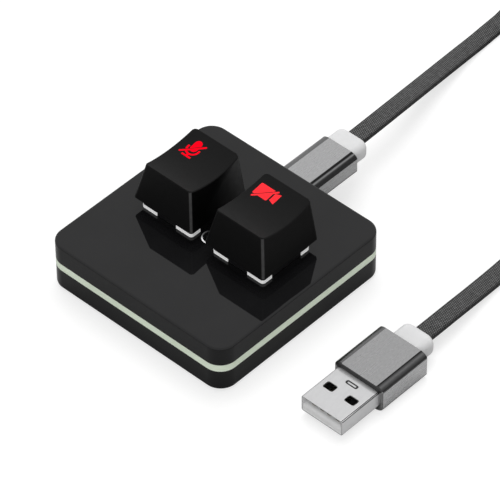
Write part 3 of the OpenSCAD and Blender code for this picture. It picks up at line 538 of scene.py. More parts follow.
def grain(material, scale, stretch=(1.0, 1.0, 1.0), detail=3.0):
    """Noise on the piece's own coordinates, with a number of grains a metre."""
    place = add_node(material, "ShaderNodeTexCoord")
    squeeze = add_node(material, "ShaderNodeMapping", Scale=stretch)
    noise = add_node(material, "ShaderNodeTexNoise", Scale=scale, Detail=detail, Roughness=0.6)
    link(material, place.outputs["Object"], squeeze.inputs["Vector"])
    link(material, squeeze.outputs["Vector"], noise.inputs["Vector"])
    return noise.outputs["Fac"]


def distance_along(material, axis):
    """The piece's own coordinate along one axis, in metres."""
    place = add_node(material, "ShaderNodeTexCoord")
    parts = add_node(material, "ShaderNodeSeparateXYZ")
    link(material, place.outputs["Object"], parts.inputs["Vector"])
    return parts.outputs[axis]


def spread(material, value, low, high, new_low, new_high):
    """Moves a value from one span to another, and holds it inside."""
    made = add_node(material, "ShaderNodeMapRange", From_Min=low, From_Max=high,
                    To_Min=new_low, To_Max=new_high)
    link(material, value, made.inputs["Value"])
    return made.outputs["Result"]


def ramp(material, value, stops):
    """Turns a value from 0 to 1 into a colour by stops of (place, red, green, blue)."""
    made = material.node_tree.nodes.new("ShaderNodeValToRGB")
    marks = made.color_ramp.elements
    while len(marks) < len(stops):
        marks.new(1.0)
    for mark, (place, *color) in zip(marks, stops):
        mark.position = place
        mark.color = (*color, 1.0)
    link(material, value, made.inputs["Fac"])
    return made.outputs["Color"]

# %% Helpers for colour and roughness


def times(material, color, value):
    """A colour times a value, such as a speckle between 0.9 and 1."""
    made = material.node_tree.nodes.new("ShaderNodeVectorMath")
    made.operation = "MULTIPLY"
    link(material, color, made.inputs[0])
    link(material, value, made.inputs[1])
    return made.outputs["Vector"]


def vary_roughness(material, pattern, low, high):
    """Lets the roughness follow a pattern of noise."""
    rough = spread(material, pattern, NOISE_LOW, NOISE_HIGH, low, high)
    link(material, rough, shader_of(material).inputs["Roughness"])


def vary_color(material, pattern, dark, light, low=NOISE_LOW, high=NOISE_HIGH):
    """Lets the colour follow a pattern between two tones."""
    color = ramp(material, pattern, [(low, *dark), (high, *light)])
    link(material, color, shader_of(material).inputs["Base Color"])

# %% Helpers for marks


def read_mark(material, mark, most, stops, blue=1.0):
    """A mark on the mesh, and the grey that it has by stops of (mark, grey)."""
    read = material.node_tree.nodes.new("ShaderNodeAttribute")
    read.attribute_name = mark
    place = spread(material, read.outputs["Fac"], -most, most, 0.0, 1.0)
    grey = ramp(material, place, [((at + most) / (2 * most), g, g, g * blue) for at, g in stops])
    return read.outputs["Fac"], grey


def follow_mark(material, mark, most, stops, pattern, least):
    """A grey that follows a mark on the mesh, with a speckle on it."""
    value, grey = read_mark(material, mark, most, stops, blue=1.01)
    speckle = spread(material, pattern, NOISE_LOW, NOISE_HIGH, least, 1.0)
    link(material, times(material, grey, speckle), shader_of(material).inputs["Base Color"])
    return value

# %% Helpers for light and bump


def glow(material, color, strength):
    """A little light of the surface's own: passed on from a lamp behind thin plastic, and painted light where
    nothing lights the part from inside.
    """
    shader_of(material).inputs["Emission Color"].default_value = (*color, 1.0)
    shader_of(material).inputs["Emission Strength"].default_value = strength


def let_light_in(material, weight, reach):
    """Lets light wander under the surface, by its reach in metres for red, green and blue."""
    shader = shader_of(material)
    shader.inputs["Subsurface Weight"].default_value = weight
    shader.inputs["Subsurface Radius"].default_value = reach
    shader.inputs["Subsurface Scale"].default_value = 1.0


def raise_by(material, pattern, height):
    """Bump, with the pattern's full height in millimetres."""
    bump = add_node(material, "ShaderNodeBump", Strength=1.0, Distance=height * MM)
    link(material, pattern, bump.inputs["Height"])
    link(material, bump.outputs["Normal"], shader_of(material).inputs["Normal"])


# %% [markdown]
# ## Finishes of the puck
# The puck is polished black plastic, almost a mirror, so its roughness is close to nothing
# and its reflections are held down to the dark ones that such plastic shows. The strip
# is lit from inside, so it passes light and has a little of its own. The caps are black with
# a fine grain and a painted highlight down the upright edges, and the side of the left cap
# that faces the right one has painted shade and a painted reflection.

# %% Finishes of the case


def gloss_plastic():
    """Polished black with the faint waves of a moulding."""
    made = new_finish("gloss_plastic", (0.007, 0.007, 0.0075), 0.02, ior=1.45, specular=0.33)
    vary_color(made, grain(made, 90.0), (0.006, 0.006, 0.0065), (0.008, 0.008, 0.0085))
    vary_roughness(made, grain(made, 400.0), 0.012, 0.03)
    raise_by(made, grain(made, 160.0, detail=1.0), 0.0003)
    return made


def strip_plastic():
    """Pale green plastic that spreads the side lights."""
    made = new_finish("strip_plastic", (0.7, 0.78, 0.64), 0.4, ior=1.45)
    vary_color(made, grain(made, 120.0), (0.70, 0.79, 0.635), (0.76, 0.85, 0.695))
    vary_roughness(made, grain(made, 900.0), 0.35, 0.5)
    let_light_in(made, 0.25, (0.0012, 0.0012, 0.001))
    glow(made, (0.82, 0.92, 0.74), 0.11)
    raise_by(made, grain(made, 2500.0), 0.004)
    return made


def foot_rubber():
    """Dull dark rubber."""
    made = new_finish("foot_rubber", (0.02, 0.02, 0.02), 0.75)
    vary_color(made, grain(made, 300.0), (0.014, 0.014, 0.014), (0.03, 0.03, 0.03))
    vary_roughness(made, grain(made, 800.0), 0.65, 0.85)
    raise_by(made, grain(made, 3000.0), 0.02)
    return made

# %% Finishes of the keycaps


def keycap_plastic():
    """Fine-grained black, rubbed smoother down the upright edges; painted highlight, shade and reflection
    follow the edge mark.
    """
    made = new_finish("keycap_plastic", (0.004, 0.004, 0.0042), 0.4, ior=1.45, specular=0.135)
    # Painted light: the upright edge that faces the room gets a painted highlight, and the left cap's side
    # towards the right cap gets painted shade at its front and a painted reflection at its back.
    tones_and_painted_light = [(-1.0, 0.060), (-0.85, 0.045), (-0.70, 0.020), (-0.5, 0.005), (-0.3, 0.0012),
             (-0.05, 0.0012), (0.0, 0.0036), (0.30, 0.0036), (0.56, 0.068), (1.0, 0.068)]
    edge = follow_mark(made, "edge", 1.0, tones_and_painted_light, grain(made, 700.0), 0.8)
    rubbed = spread(made, edge, 0.3, 0.6, 0.42, 0.34)
    uneven = spread(made, grain(made, 900.0), NOISE_LOW, NOISE_HIGH, -0.03, 0.03)
    link(made, work_out(made, "ADD", rubbed, uneven), shader_of(made).inputs["Roughness"])
    raise_by(made, grain(made, 5000.0, detail=2.0), 0.003)
    return made


def legend_red(name, specular, green, blue):
    """Red inlay that the key light behind it makes glow."""
    made = new_finish(name, (0.9, green, blue), 0.35, ior=1.45, specular=specular)
    deep = (0.84, green * 0.9, blue * 0.9)
    bright = (0.95, green * 1.1, blue * 1.1)
    vary_color(made, grain(made, 600.0), deep, bright)
    vary_roughness(made, grain(made, 900.0), 0.3, 0.4)
    raise_by(made, grain(made, 4000.0), 0.002)
    glow(made, (1.0, 0.0, 0.008), 0.15)
    return made


# %% [markdown]
# ## Finish of the cable
# The cable is braided from dark yarn. A picture of a braid could be laid on it. Two waves on
# the map of the tube do as well and stay sharp from any distance: one makes the rows across
# the width, the other the dots along each row, shifted by half a dot from row to row.

# %% Finish of the cable
ROW_PITCH = 0.50
DOT_PITCH = 0.55
WEAVE_DARK = (0.016, 0.016, 0.016)
WEAVE_LIGHT = (0.200, 0.200, 0.201)
CABLE_GIRTH = cable_section()[1][-1]
SIDE_MIDDLE = CABLE_THICK / 2 - CABLE_EDGE
SIDE_SHADE = 0.5
print("way round the cable: %.2f mm" % CABLE_GIRTH)


def woven_grey():
    """Dark yarn: rows along the cable, each crossed by small dots of lighter yarn; painted shade on the
    narrow sides.
    """
    made = new_finish("woven_grey", (0.06, 0.06, 0.06), 0.75, specular=0.2)
    spot = add_node(made, "ShaderNodeUVMap")
    spot.uv_map = "weave"
    parts = add_node(made, "ShaderNodeSeparateXYZ")
    link(made, spot.outputs["UV"], parts.inputs["Vector"])
    across = work_out(made, "MULTIPLY", parts.outputs["Y"], pi / ROW_PITCH)
    rows = work_out(made, "ABSOLUTE", work_out(made, "SINE", across))
    odd = work_out(made, "SIGN", work_out(made, "SINE", across))
    run = work_out(made, "MULTIPLY", parts.outputs["X"], 2 * pi / DOT_PITCH)
    dots = work_out(made, "SINE", work_out(made, "ADD", run, work_out(made, "MULTIPLY", odd, pi / 2)))
    knots = work_out(made, "MULTIPLY", rows, work_out(made, "MULTIPLY_ADD", dots, 0.5, 0.5))
    yarn = work_out(made, "ADD", knots, spread(made, grain(made, 1200.0), 0.3, 0.7, -0.15, 0.15))
    color = ramp(made, yarn, [(0.0, *WEAVE_DARK), (1.0, *WEAVE_LIGHT)])
    # Painted shade: the narrow sides of the cable are darker than its wide faces.
    past_side = work_out(made, "ADD", parts.outputs["Y"], SIDE_MIDDLE)
    two_sides = work_out(made, "COSINE", work_out(made, "MULTIPLY", past_side, 4 * pi / CABLE_GIRTH))
    shade = spread(made, two_sides, 0.45, 0.75, 1.0, SIDE_SHADE)
    link(made, times(made, color, shade), shader_of(made).inputs["Base Color"])
    raise_by(made, knots, 0.05)
    vary_roughness(made, grain(made, 900.0), 0.68, 0.85)
    return made


# %% [markdown]
# ## Finishes of the plugs
# Metal in a soft studio shows bands: each strip of a rounded edge mirrors another part of the
# room. The rounded edges carry a mark that grows round them, and the bands below are painted
# reflections and painted shade: they say how bright the metal is at each value of the mark,
# so they stay on the edge in any view. The collars are milky and soft, with a faint painted
# glow, and the small parts have plain plastic or metal.

# %% Finishes of the plugs: bands
# Painted reflections and painted shade: the brightness of the metal at each value of the mark round a rolled
# edge, a side or an end.
LEFT_PAINTED_BANDS = [(-1.45, 0.35), (-1.2, 0.35), (-1.15, 0.62), (-1.05, 0.62), (-0.8, 0.45),
              (-0.6, 0.37), (-0.5, 0.27), (-0.42, 0.20), (-0.3, 0.165), (-0.02, 0.155)]
BACK_PAINTED_BANDS = LEFT_PAINTED_BANDS + [(-0.01, 0.42), (0.01, 0.42), (0.02, 0.03), (0.17, 0.01), (0.22, 0.03),
                           (0.29, 0.21), (0.36, 0.21), (0.43, 0.06), (0.52, 0.03), (0.66, 0.024),
                           (0.8, 0.035), (0.92, 0.06), (1.0, 0.075), (1.05, 0.66), (1.15, 0.66),
                           (1.2, 0.055), (1.45, 0.055)]
USB_PAINTED_BANDS = LEFT_PAINTED_BANDS + [(-0.01, 0.37), (0.01, 0.37), (0.02, 0.02), (0.08, 0.012), (0.17, 0.065),
                          (0.25, 0.115), (0.33, 0.14), (0.42, 0.105), (0.5, 0.075), (0.67, 0.036),
                          (0.75, 0.03), (0.83, 0.07), (0.92, 0.17), (1.0, 0.3), (1.05, 0.82),
                          (1.15, 0.82), (1.2, 0.055), (1.45, 0.055)]
# Painted reflections on the shell's rolled edges, and painted shade in its groove and further inside.
SHELL_PAINTED_BANDS = [(-1.45, 0.03), (-1.2, 0.03), (-1.15, 0.9), (-1.05, 0.9), (-1.0, 0.45), (-0.5, 0.45),
               (-0.05, 0.60), (0.01, 0.60), (0.03, 0.95), (0.10, 0.85), (0.15, 0.05), (0.20, 0.002),
               (0.86, 0.002), (0.90, 0.12), (0.96, 0.5), (1.0, 0.7), (1.05, 0.95), (1.15, 0.95),
               (1.2, 0.45), (1.45, 0.45)]
print("bands on the grips:", len(BACK_PAINTED_BANDS), len(USB_PAINTED_BANDS), "and on the shell:", len(SHELL_PAINTED_BANDS))

# %% Finishes of the plugs: metal


def grip_metal(name, stops):
    """Anodised aluminium with fine speckles, and painted reflections and painted shade in bands round the
    rolled edges and the ends.
    """
    made = new_finish(name, (0.4, 0.4, 0.404), 0.3, metallic=1.0)
    follow_mark(made, "roll", 1.5, stops, grain(made, 2600.0, (1.0, 0.45, 1.0), 2.0), 0.88)
    vary_roughness(made, grain(made, 1500.0, (1.0, 0.1, 1.0)), 0.24, 0.36)
    raise_by(made, grain(made, 3500.0, (1.0, 0.3, 1.0)), 0.003)
    return made


def plated_steel(name, stops):
    """Bright plating that is drawn out along the plug, with painted reflections in bands round its rolled
    edges and painted shade in its groove and inside.
    """
    made = new_finish(name, (0.72, 0.72, 0.72), 0.2, metallic=0.35)
    follow_mark(made, "roll", 1.5, stops, grain(made, 1400.0, (1.0, 0.3, 1.0)), 0.96)
    vary_roughness(made, grain(made, 2500.0, (1.0, 0.05, 1.0)), 0.16, 0.26)
    raise_by(made, grain(made, 5000.0, (1.0, 0.05, 1.0)), 0.0015)
    return made

# %% Finishes of the plugs: plastic, and plain parts


def milky_plastic():
    """Soft whitish plastic that light goes some way into."""
    made = new_finish("milky_plastic", (0.74, 0.74, 0.745), 0.35, ior=1.45, specular=0.3)
    vary_color(made, grain(made, 250.0), (0.645, 0.645, 0.65), (0.685, 0.685, 0.69))
    vary_roughness(made, grain(made, 900.0), 0.3, 0.42)
    let_light_in(made, 0.4, (0.002, 0.002, 0.002))
    # Painted light: a faint glow of its own, though nothing lights the collar from inside.
    glow(made, (1.0, 1.0, 1.0), 0.07)
    raise_by(made, grain(made, 1800.0), 0.003)
    return made


def plain_plastic(name, dark, light, rough=0.45, specular=0.5):
    """Moulded plastic in a colour between two."""
    made = new_finish(name, light, rough, ior=1.46, specular=specular)
    vary_color(made, grain(made, 400.0), dark, light)
    vary_roughness(made, grain(made, 900.0), rough - 0.05, rough + 0.07)
    raise_by(made, grain(made, 3500.0), 0.004)
    return made


def plain_metal(name, dark, light, rough=0.3):
    """Drawn or stamped metal in a colour between two."""
    made = new_finish(name, light, rough, metallic=1.0)
    vary_color(made, grain(made, 800.0), dark, light)
    vary_roughness(made, grain(made, 1800.0), rough - 0.06, rough + 0.08)
    raise_by(made, grain(made, 4000.0), 0.002)
    return made


# %% [markdown]
# ## The stage
# The table is white and so is the air behind it. The table keeps the object's soft shadow,
# and a little light of its own for the camera alone lifts the rest of it to plain white.

# %% Table
TABLE_LIFT = 0.66


def table_white():
    """Matt card that camera rays see lighter."""
    made = new_finish("table_white", (0.42, 0.42, 0.42), 0.9, specular=0.0)
    vary_color(made, grain(made, 30.0), (0.415, 0.415, 0.415), (0.425, 0.425, 0.425))
    shader = shader_of(made)
    shader.inputs["Emission Color"].default_value = (1.0, 1.0, 1.0, 1.0)
    rays = made.node_tree.nodes.new("ShaderNodeLightPath")
    seen = work_out(made, "MULTIPLY", rays.outputs["Is Camera Ray"], TABLE_LIFT)
    link(made, seen, shader.inputs["Emission Strength"])
    return made


rest()
bpy.ops.mesh.primitive_plane_add(size=6.0, location=(0.0, 0.0, 0.0))
table = bpy.context.object
table.name = "table"
table.data.materials.append(table_white())
print("table: %.0f m wide" % table.dimensions.x)

# %% [markdown]
# ## Air and lamps
# The air is plain white where the camera looks at it, or sees it mirrored or through
# something, and dimmer where it lights the object. Two large square lamps give the soft
# shading. They are hidden from mirrors, since the photograph's gloss shows no lamp in it.

# %% Air
AIR_ON_OBJECT = 0.55
world = bpy.data.worlds.new("air") if bpy.context.scene.world is None else bpy.context.scene.world
bpy.context.scene.world = world
world.use_nodes = True
air = world.node_tree.nodes
air_links = world.node_tree.links
sky = air["Background"]
sky.inputs["Color"].default_value = (1.0, 1.0, 1.0, 1.0)
paths = air.new("ShaderNodeLightPath")
seen_or_mirrored = air.new("ShaderNodeMath")
seen_or_mirrored.operation = "MAXIMUM"
seen_mirrored_or_through = air.new("ShaderNodeMath")
seen_mirrored_or_through.operation = "MAXIMUM"
strength = air.new("ShaderNodeMapRange")
strength.inputs["To Min"].default_value = AIR_ON_OBJECT
strength.inputs["To Max"].default_value = 1.0
air_links.new(paths.outputs["Is Camera Ray"], seen_or_mirrored.inputs[0])
air_links.new(paths.outputs["Is Glossy Ray"], seen_or_mirrored.inputs[1])
air_links.new(seen_or_mirrored.outputs["Value"], seen_mirrored_or_through.inputs[0])
air_links.new(paths.outputs["Is Transmission Ray"], seen_mirrored_or_through.inputs[1])
air_links.new(seen_mirrored_or_through.outputs["Value"], strength.inputs["Value"])
air_links.new(strength.outputs["Result"], sky.inputs["Strength"])
print("air: 1 for the camera, %.2f on the object" % AIR_ON_OBJECT)

# %% Lamps


def add_softbox(name, place, size, power):
    """A square lamp that looks at the puck."""
    rest()
    bpy.ops.object.light_add(type="AREA", location=[c * MM for c in place])
    lamp = bpy.context.object
    lamp.name = name
    lamp.data.size = size * MM
    lamp.data.energy = power
    lamp.rotation_euler = Vector(place).to_track_quat("Z", "Y").to_euler()
    lamp.visible_glossy = False
    return lamp


add_softbox("softbox_over", (-250.0, 300.0, 900.0), size=700.0, power=5.0)
add_softbox("softbox_front", (350.0, -800.0, 600.0), size=500.0, power=2.0)

bpy.context.scene.view_settings.view_transform = "Standard"

# %% [markdown]
# ## Case
# Both halves of the case are blocks with four round upright corners. A bevel on the upright
# edges makes the corners in one step, a second small one softens the rim, and an inset with
# an extrusion hollows the block with corners that follow the outside.

# %% Case: blocks and bars
HALF = 27.0
CORNER = 4.4
RIM = 0.5
WALL = 2.0
PLUG_AT = (0.0, 8.95)
print("case outline: %.1f mm square" % (2 * HALF))


def round_block(name, low, high):
    """A block of the case's outline with its upright corners rounded, left in edit mode."""
    block = add_block(name, (-HALF, -HALF, low), (HALF, HALF, high))
    edit(block)
    choose("EDGE", along(2))
    round_off(CORNER, 16)
    return block


def soften_rim(height, width, segments=3):
    """Rounds the edges of the block's outline at a height."""
    choose("EDGE", level_with(2, height))
    round_off(width, segments)


def hollow(sign, depth):
    """Insets the face that looks up or down by the wall and pushes it in."""
    choose("FACE", facing(2, sign))
    bpy.ops.mesh.inset(thickness=WALL * MM, use_even_offset=True)
    bpy.ops.mesh.extrude_region_move(TRANSFORM_OT_translate={"value": (0.0, 0.0, -sign * depth * MM)})


def add_bar(name, middle, wide, high, start, end, edge, segments=6):
    """A bar along Y with round long edges, by the x and z of its middle."""
    bar = add_block(name, (middle[0] - wide / 2, start, middle[1] - high / 2),
                    (middle[0] + wide / 2, end, middle[1] + high / 2))
    edit(bar)
    choose("EDGE", along(1))
    round_off(edge, segments)
    rest()
    return bar

# %% Case: rods and the port


def add_rods(name, spots, middle, radius, length):
    """The same upright cylinder at several places, by the height of its middle."""
    return [add_rod(name, (x, y, middle), radius, length) for x, y in spots]


def port():
    """The plug's opening through the back wall."""
    return add_bar("port", PLUG_AT, wide=9.54, high=3.36, start=24.0, end=28.0, edge=1.6)


# %% [markdown]
# ## Case: top half
# The upper half carries everything: four bosses for the screws on its inside, a square
# cut-out for each switch to snap into, and a seat for the status light. The bosses are
# welded on before the bores are cut, so that one cut makes each bore with clean walls.

# %% Case: top half
TOP_LOW = 8.1
TOP_HIGH = 13.3
PLATE = 1.5
SEAM_EASE = 0.08
SCREWS = [(x, y) for x in (-21.4, 21.4) for y in (-12.0, 12.0)]
KEY_X = (-10.85, 11.15)
KEY_Y = 3.05
KEY_HOLE = 14
LIGHT_AT = (0.15, -1.55)

top = round_block("top_case", TOP_LOW, TOP_HIGH)
soften_rim(TOP_HIGH, RIM)
soften_rim(TOP_LOW, SEAM_EASE, 1)
hollow(-1, TOP_HIGH - PLATE - TOP_LOW)
weld(top, *add_rods("boss", SCREWS, middle=10.3, radius=2.4, length=4.0))
cut(top, *add_rods("bore", SCREWS, middle=9.5, radius=1.05, length=3.5))
half = KEY_HOLE / 2
cut(top, *[add_block("cut_out", (x - half, KEY_Y - half, 11), (x + half, KEY_Y + half, 14))
           for x in KEY_X])
cut(top, *add_rods("lens_hole", [LIGHT_AT], middle=12.5, radius=2.0, length=3.0),
    *add_rods("seat", [LIGHT_AT], middle=13.5, radius=2.4, length=1.0), port())
smooth(top, 30.0)
wear(top, "case", "gloss_black", gloss_plastic(), "top_shell")

# %% [markdown]
# ## Case: light strip
# The strip is a ring of clear green plastic held between the halves. The same rounded block
# opened from end to end gives it, so its outside is exactly the case's.

# %% Case: light strip
STRIP_LOW = 6.2

strip = round_block("light_band", STRIP_LOW, TOP_LOW)
open_through(2, WALL)
cut(strip, port())
smooth(strip, 30.0)
wear(strip, "case", "strip", strip_plastic(), "light_strip")

# %% [markdown]
# ## Case: bottom half
# The lower half is the same block hollowed from above. Its posts meet the bosses, its
# recesses hide the screw heads, and shallow round seats hold the rubber feet.

# %% Case: bottom half
BOTTOM_LOW = 0.5
FLOOR = 2.0
FEET = [(x, y) for x in (-20.0, 20.0) for y in (-20.0, 20.0)]

bottom = round_block("bottom_case", BOTTOM_LOW, STRIP_LOW)
soften_rim(BOTTOM_LOW, RIM)
soften_rim(STRIP_LOW, SEAM_EASE, 1)
hollow(1, STRIP_LOW - BOTTOM_LOW - FLOOR)
weld(bottom, *add_rods("post", SCREWS, middle=4.3, radius=3.1, length=4.8))
cut(bottom, *add_rods("recess", SCREWS, middle=1.6, radius=2.2, length=3.0))
cut(bottom, *add_rods("bore", SCREWS, middle=5.0, radius=1.15, length=8.0))
cut(bottom, *add_rods("foot_seat", FEET, middle=0.8, radius=4.05, length=1.0))
smooth(bottom, 30.0)
wear(bottom, "case", "gloss_black", gloss_plastic(), "bottom_shell")

# %% [markdown]
# ## Keycaps
# A keycap is a thin-walled block that leans in on three sides, with a shallow dish along its
# top for the finger and a post with a cross inside. Both caps are the same moulding, so one
# is made over the origin, copied, and each copy is moved over its switch.

# %% Keycap: sizes
CAP_LOW = 16.3
CAP_HIGH = 26.75
CAP_BASE = 9.15
CAP_LEAN = 2.15
CAP_WALL = 1.0
CAP_INSIDE = 23.875
CAP_EDGE = 0.85
UPRIGHT_LONG = 9
DISH_RADIUS = 26.71
DISH_TILT = radians(0.887)
DISH_LOW = 25.375
DISH_Y = 1.075
LEGEND_PROUD = 0.02
CROSS_LONG = 2.05
CROSS_WIDE = 0.65
print("cap: %.1f mm wide, %.2f mm high" % (2 * CAP_BASE, CAP_HIGH - CAP_LOW))

# %% Keycap: walls and hollow
cap = add_block("cap", (-CAP_BASE, -CAP_BASE, CAP_LOW), (CAP_BASE, CAP_BASE, CAP_HIGH))
edit(cap)
choose("FACE", facing(2, 1))
bpy.ops.transform.resize(value=(1 - CAP_LEAN / CAP_BASE, 1 - CAP_LEAN / CAP_BASE / 2, 1.0),
                         center_override=(0.0, CAP_BASE * MM, CAP_HIGH * MM))
choose("FACE", facing(2, -1))
bpy.ops.mesh.inset(thickness=CAP_WALL * MM, use_even_offset=True)
rise = CAP_INSIDE - CAP_LOW
bpy.ops.mesh.extrude_region_move(TRANSFORM_OT_translate={"value": (0.0, 0.0, rise * MM)})
inside = CAP_BASE - CAP_WALL
lean = CAP_LEAN * rise / (CAP_HIGH - CAP_LOW)
bpy.ops.transform.resize(value=(1 - lean / inside, 1 - lean / inside / 2, 1.0),
                         center_override=(0.0, inside * MM, CAP_INSIDE * MM))
choose("EDGE", lambda m, e: abs(e.verts[0].co.z - e.verts[1].co.z) > UPRIGHT_LONG * MM)
round_off(CAP_EDGE, 6)
rest()

# %% Keycap: post, cross and dish
weld(cap, add_rod("post", (0.0, 0.0, 22.1), radius=2.75, length=4.3))
cut(cap, add_block("cross_a", (-CROSS_LONG, -CROSS_WIDE, 19.0), (CROSS_LONG, CROSS_WIDE, 23.6)),
    add_block("cross_b", (-CROSS_WIDE, -CROSS_LONG, 19.0), (CROSS_WIDE, CROSS_LONG, 23.6)))
dish = add_rod("dish", (0.0, 0.0, 0.0), DISH_RADIUS + LEGEND_PROUD, 30.0, axis="X", sides=288)
dish.rotation_euler = (DISH_TILT, 0.0, 0.0)
dish.location = (0.0, DISH_Y * MM - DISH_RADIUS * sin(DISH_TILT) * MM,
                 (DISH_LOW + DISH_RADIUS * cos(DISH_TILT)) * MM)
settle(dish)
cut(cap, dish)
print("cap: %d faces before its rims" % len(cap.data.polygons))

# %% [markdown]
# ## Keycap: soft rims
# Fingers meet the rim of the dish, so a mould gives it a small round, and the skirt's lower
# edge a smaller one. The dish was cut with a boolean, so the sharp edges are found by their
# place and by the angle between their faces instead of being picked one by one.

# %% Keycap: soft rims
TOP_RIM = 0.28
LOW_RIM = 0.25


def sharp_rim(lowest, highest, reach):
    """A test for sharp edges of the cap's outside between two heights."""
    def passes(middle, item):
        if len(item.link_faces) != 2 or item.calc_face_angle() < radians(40):
            return False
        out = max(abs(middle.x), abs(middle.y - 1.0))
        return lowest < middle.z < highest and out > reach
    return passes


edit(cap)
choose("EDGE", sharp_rim(lowest=24.5, highest=27.0, reach=5.0))
round_off(TOP_RIM, 4)
choose("EDGE", sharp_rim(lowest=16.2, highest=16.4, reach=8.4))
round_off(LOW_RIM, 3)
rest()
smooth(cap, 28.0)
print("cap: %d faces with them" % len(cap.data.polygons))

# %% [markdown]
# ## Keycap: two copies
# A painted highlight lies on the same upright edge of both caps, the one that faces the room.
# A number on the corners of the faces says where that edge is, and where the side of the
# left cap faces the right one, with painted shade at its front and a painted reflection at
# its back. The finish then follows that number.

# %% Keycap: its marks


def cap_mark(painted_inner_side):
    """1 at the upright edge with the painted highlight; along the left cap's side that faces the other cap,
    -0.1 for painted shade at the front down to -1 for a painted reflection at the back.
    """
    def rule(spot, face, normal):
        if abs(normal.z) > 0.6:
            return 0.0
        if painted_inner_side and normal.x > 0.9:
            return -0.1 - 0.9 * min(max((spot.y - KEY_Y) / CAP_BASE, 0.0), 1.0)
        between = min(abs(normal.x), abs(normal.y)) / max(abs(normal.x), abs(normal.y), 0.001)
        return between if normal.x > 0.0 > normal.y else 0.0
    return rule


# %% Keycap: copying and placing
for side, x in zip(("left", "right"), KEY_X):
    take(cap)
    bpy.ops.object.duplicate()
    twin = bpy.context.object
    twin.name = side + "_cap"
    twin.location = (x * MM, KEY_Y * MM, 0.0)
    settle(twin)
    mark_corners(twin, "edge", cap_mark(side == "left"))
    wear(twin, side + "_key", "keycap", keycap_plastic(), side + "_keycap")
bpy.data.objects.remove(cap)

# %% [markdown]
# ## Switch bases
# The white lower housing of each switch is held by many small features that the frame
# already has. A copy of the frame's own solid keeps them: its loose triangles are merged,
# flat neighbours are joined, and a small bevel gives the moulding its soft edges.

# %% Switch bases: copies of the frame's solids


def copy_of(node, name):
    """A merged copy of a node of the frame, with its flat faces joined."""
    take(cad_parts[node])
    bpy.ops.object.duplicate()
    made = bpy.context.object
    made.name = name
    edit(made)
    bpy.ops.mesh.select_all(action="SELECT")
    bpy.ops.mesh.remove_doubles(threshold=0.001 * MM)
    bpy.ops.mesh.dissolve_limited(angle_limit=radians(1.0))
    rest()
    return made


for side in ("left", "right"):
    base = copy_of(side + "_switch_base", side + "_base")
    soften(base, 0.12, 2)
    smooth(base)
    white = plain_plastic("switch_plastic", (0.9, 0.9, 0.9), (0.94, 0.94, 0.94))
    # Partly painted light: the glow stands for the key light passing through the white plastic, and also
    # lifts the base out of the shade of its cap.
    glow(white, (1.0, 1.0, 1.0), 0.25)
    wear(base, "case", "switch_white", white, side + "_switch_base")

# %% [markdown]
# ## Return springs
# The coil spring in each switch stands on the floor of the switch base and lifts the key.
# Pressing the key makes it shorter. A copy of it, with a mesh of its own, stays with the case.

# %% Return springs
screw_steel = plain_metal("screw_steel", (0.28, 0.28, 0.28), (0.36, 0.36, 0.36))

for side in ("left", "right"):
    coil = copy_of(side + "_spring", side + "_return_spring")
    wear(coil, "case", "steel", screw_steel, side + "_spring")
    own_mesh(coil)

# %% [markdown]
# ## Ring of the status light
# A small turned metal ring stands in the plate between the keys. It is dark all round but
# for one stretch with a painted highlight that also glows, so in a picture it shows as one short thin arc.

# %% Ring of the status light
RING_OUT = 2.35
RING_WIDE = 0.35
PAINTED_HIGHLIGHT_WAY = radians(252)
ring_low, ring_high = [corner[2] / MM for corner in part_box("status_bezel")]

ring = add_rod("light_ring", (*LIGHT_AT, (ring_low + ring_high) / 2), RING_OUT,
               ring_high - ring_low, sides=64)
edit(ring)
open_through(2, RING_WIDE)
choose("EDGE", level_with(2, ring_high))
round_off(0.1, 3)
smooth(ring, 40.0)


def ring_mark(spot, face, normal):
    """How far round the ring's top from the middle of its painted highlight, in quarter turns; 2 on its
    walls.
    """
    if face.normal.z < 0.5:
        return 2.0
    way = atan2(spot.y - LIGHT_AT[1], spot.x - LIGHT_AT[0]) - PAINTED_HIGHLIGHT_WAY
    return abs((way + pi) % (2 * pi) - pi) / (pi / 2)


def ring_metal():
    """Dark metal with a painted highlight on one stretch of its top, which also glows."""
    made = new_finish("ring_metal", (0.8, 0.8, 0.8), 0.2, metallic=0.2)
    tones_and_painted_light = [(0.0, 0.9), (0.2, 0.85), (0.45, 0.3), (1.1, 0.10), (1.4, 0.03), (2.0, 0.02)]
    follow_mark(made, "roll", 2.0, tones_and_painted_light, grain(made, 1500.0), 0.9)
    # Painted light: the highlighted stretch glows, though the ring is no lamp.
    glow(made, (1.0, 1.0, 1.0), 0.6)
    light = read_mark(made, "roll", 2.0, [(0.0, 1.0), (0.2, 0.75), (0.45, 0.1), (1.1, 0.0), (2.0, 0.0)])[1]
    link(made, light, shader_of(made).inputs["Emission Color"])
    vary_roughness(made, grain(made, 2500.0), 0.15, 0.25)
    raise_by(made, grain(made, 3000.0), 0.001)
    return made


mark_corners(ring, "roll", ring_mark)
wear(ring, "case", "bezel", ring_metal(), "status_bezel")

# %% [markdown]
# ## Plugs
# Each plug has a metal grip with its long edges rolled over, a milky collar that closes in
# on the cable, and a moulded core. The grip's edges are wider on top than on the side, so
# the bar is bevelled while it is too tall and then squashed to its height.

# %% Plugs: grips
EDGE_ON_TOP = 1.95
EDGE_ON_SIDE = 1.25
GRIP_WALL = 0.9
LIP_WALL = 1.15
LIP_DEEP = 0.5


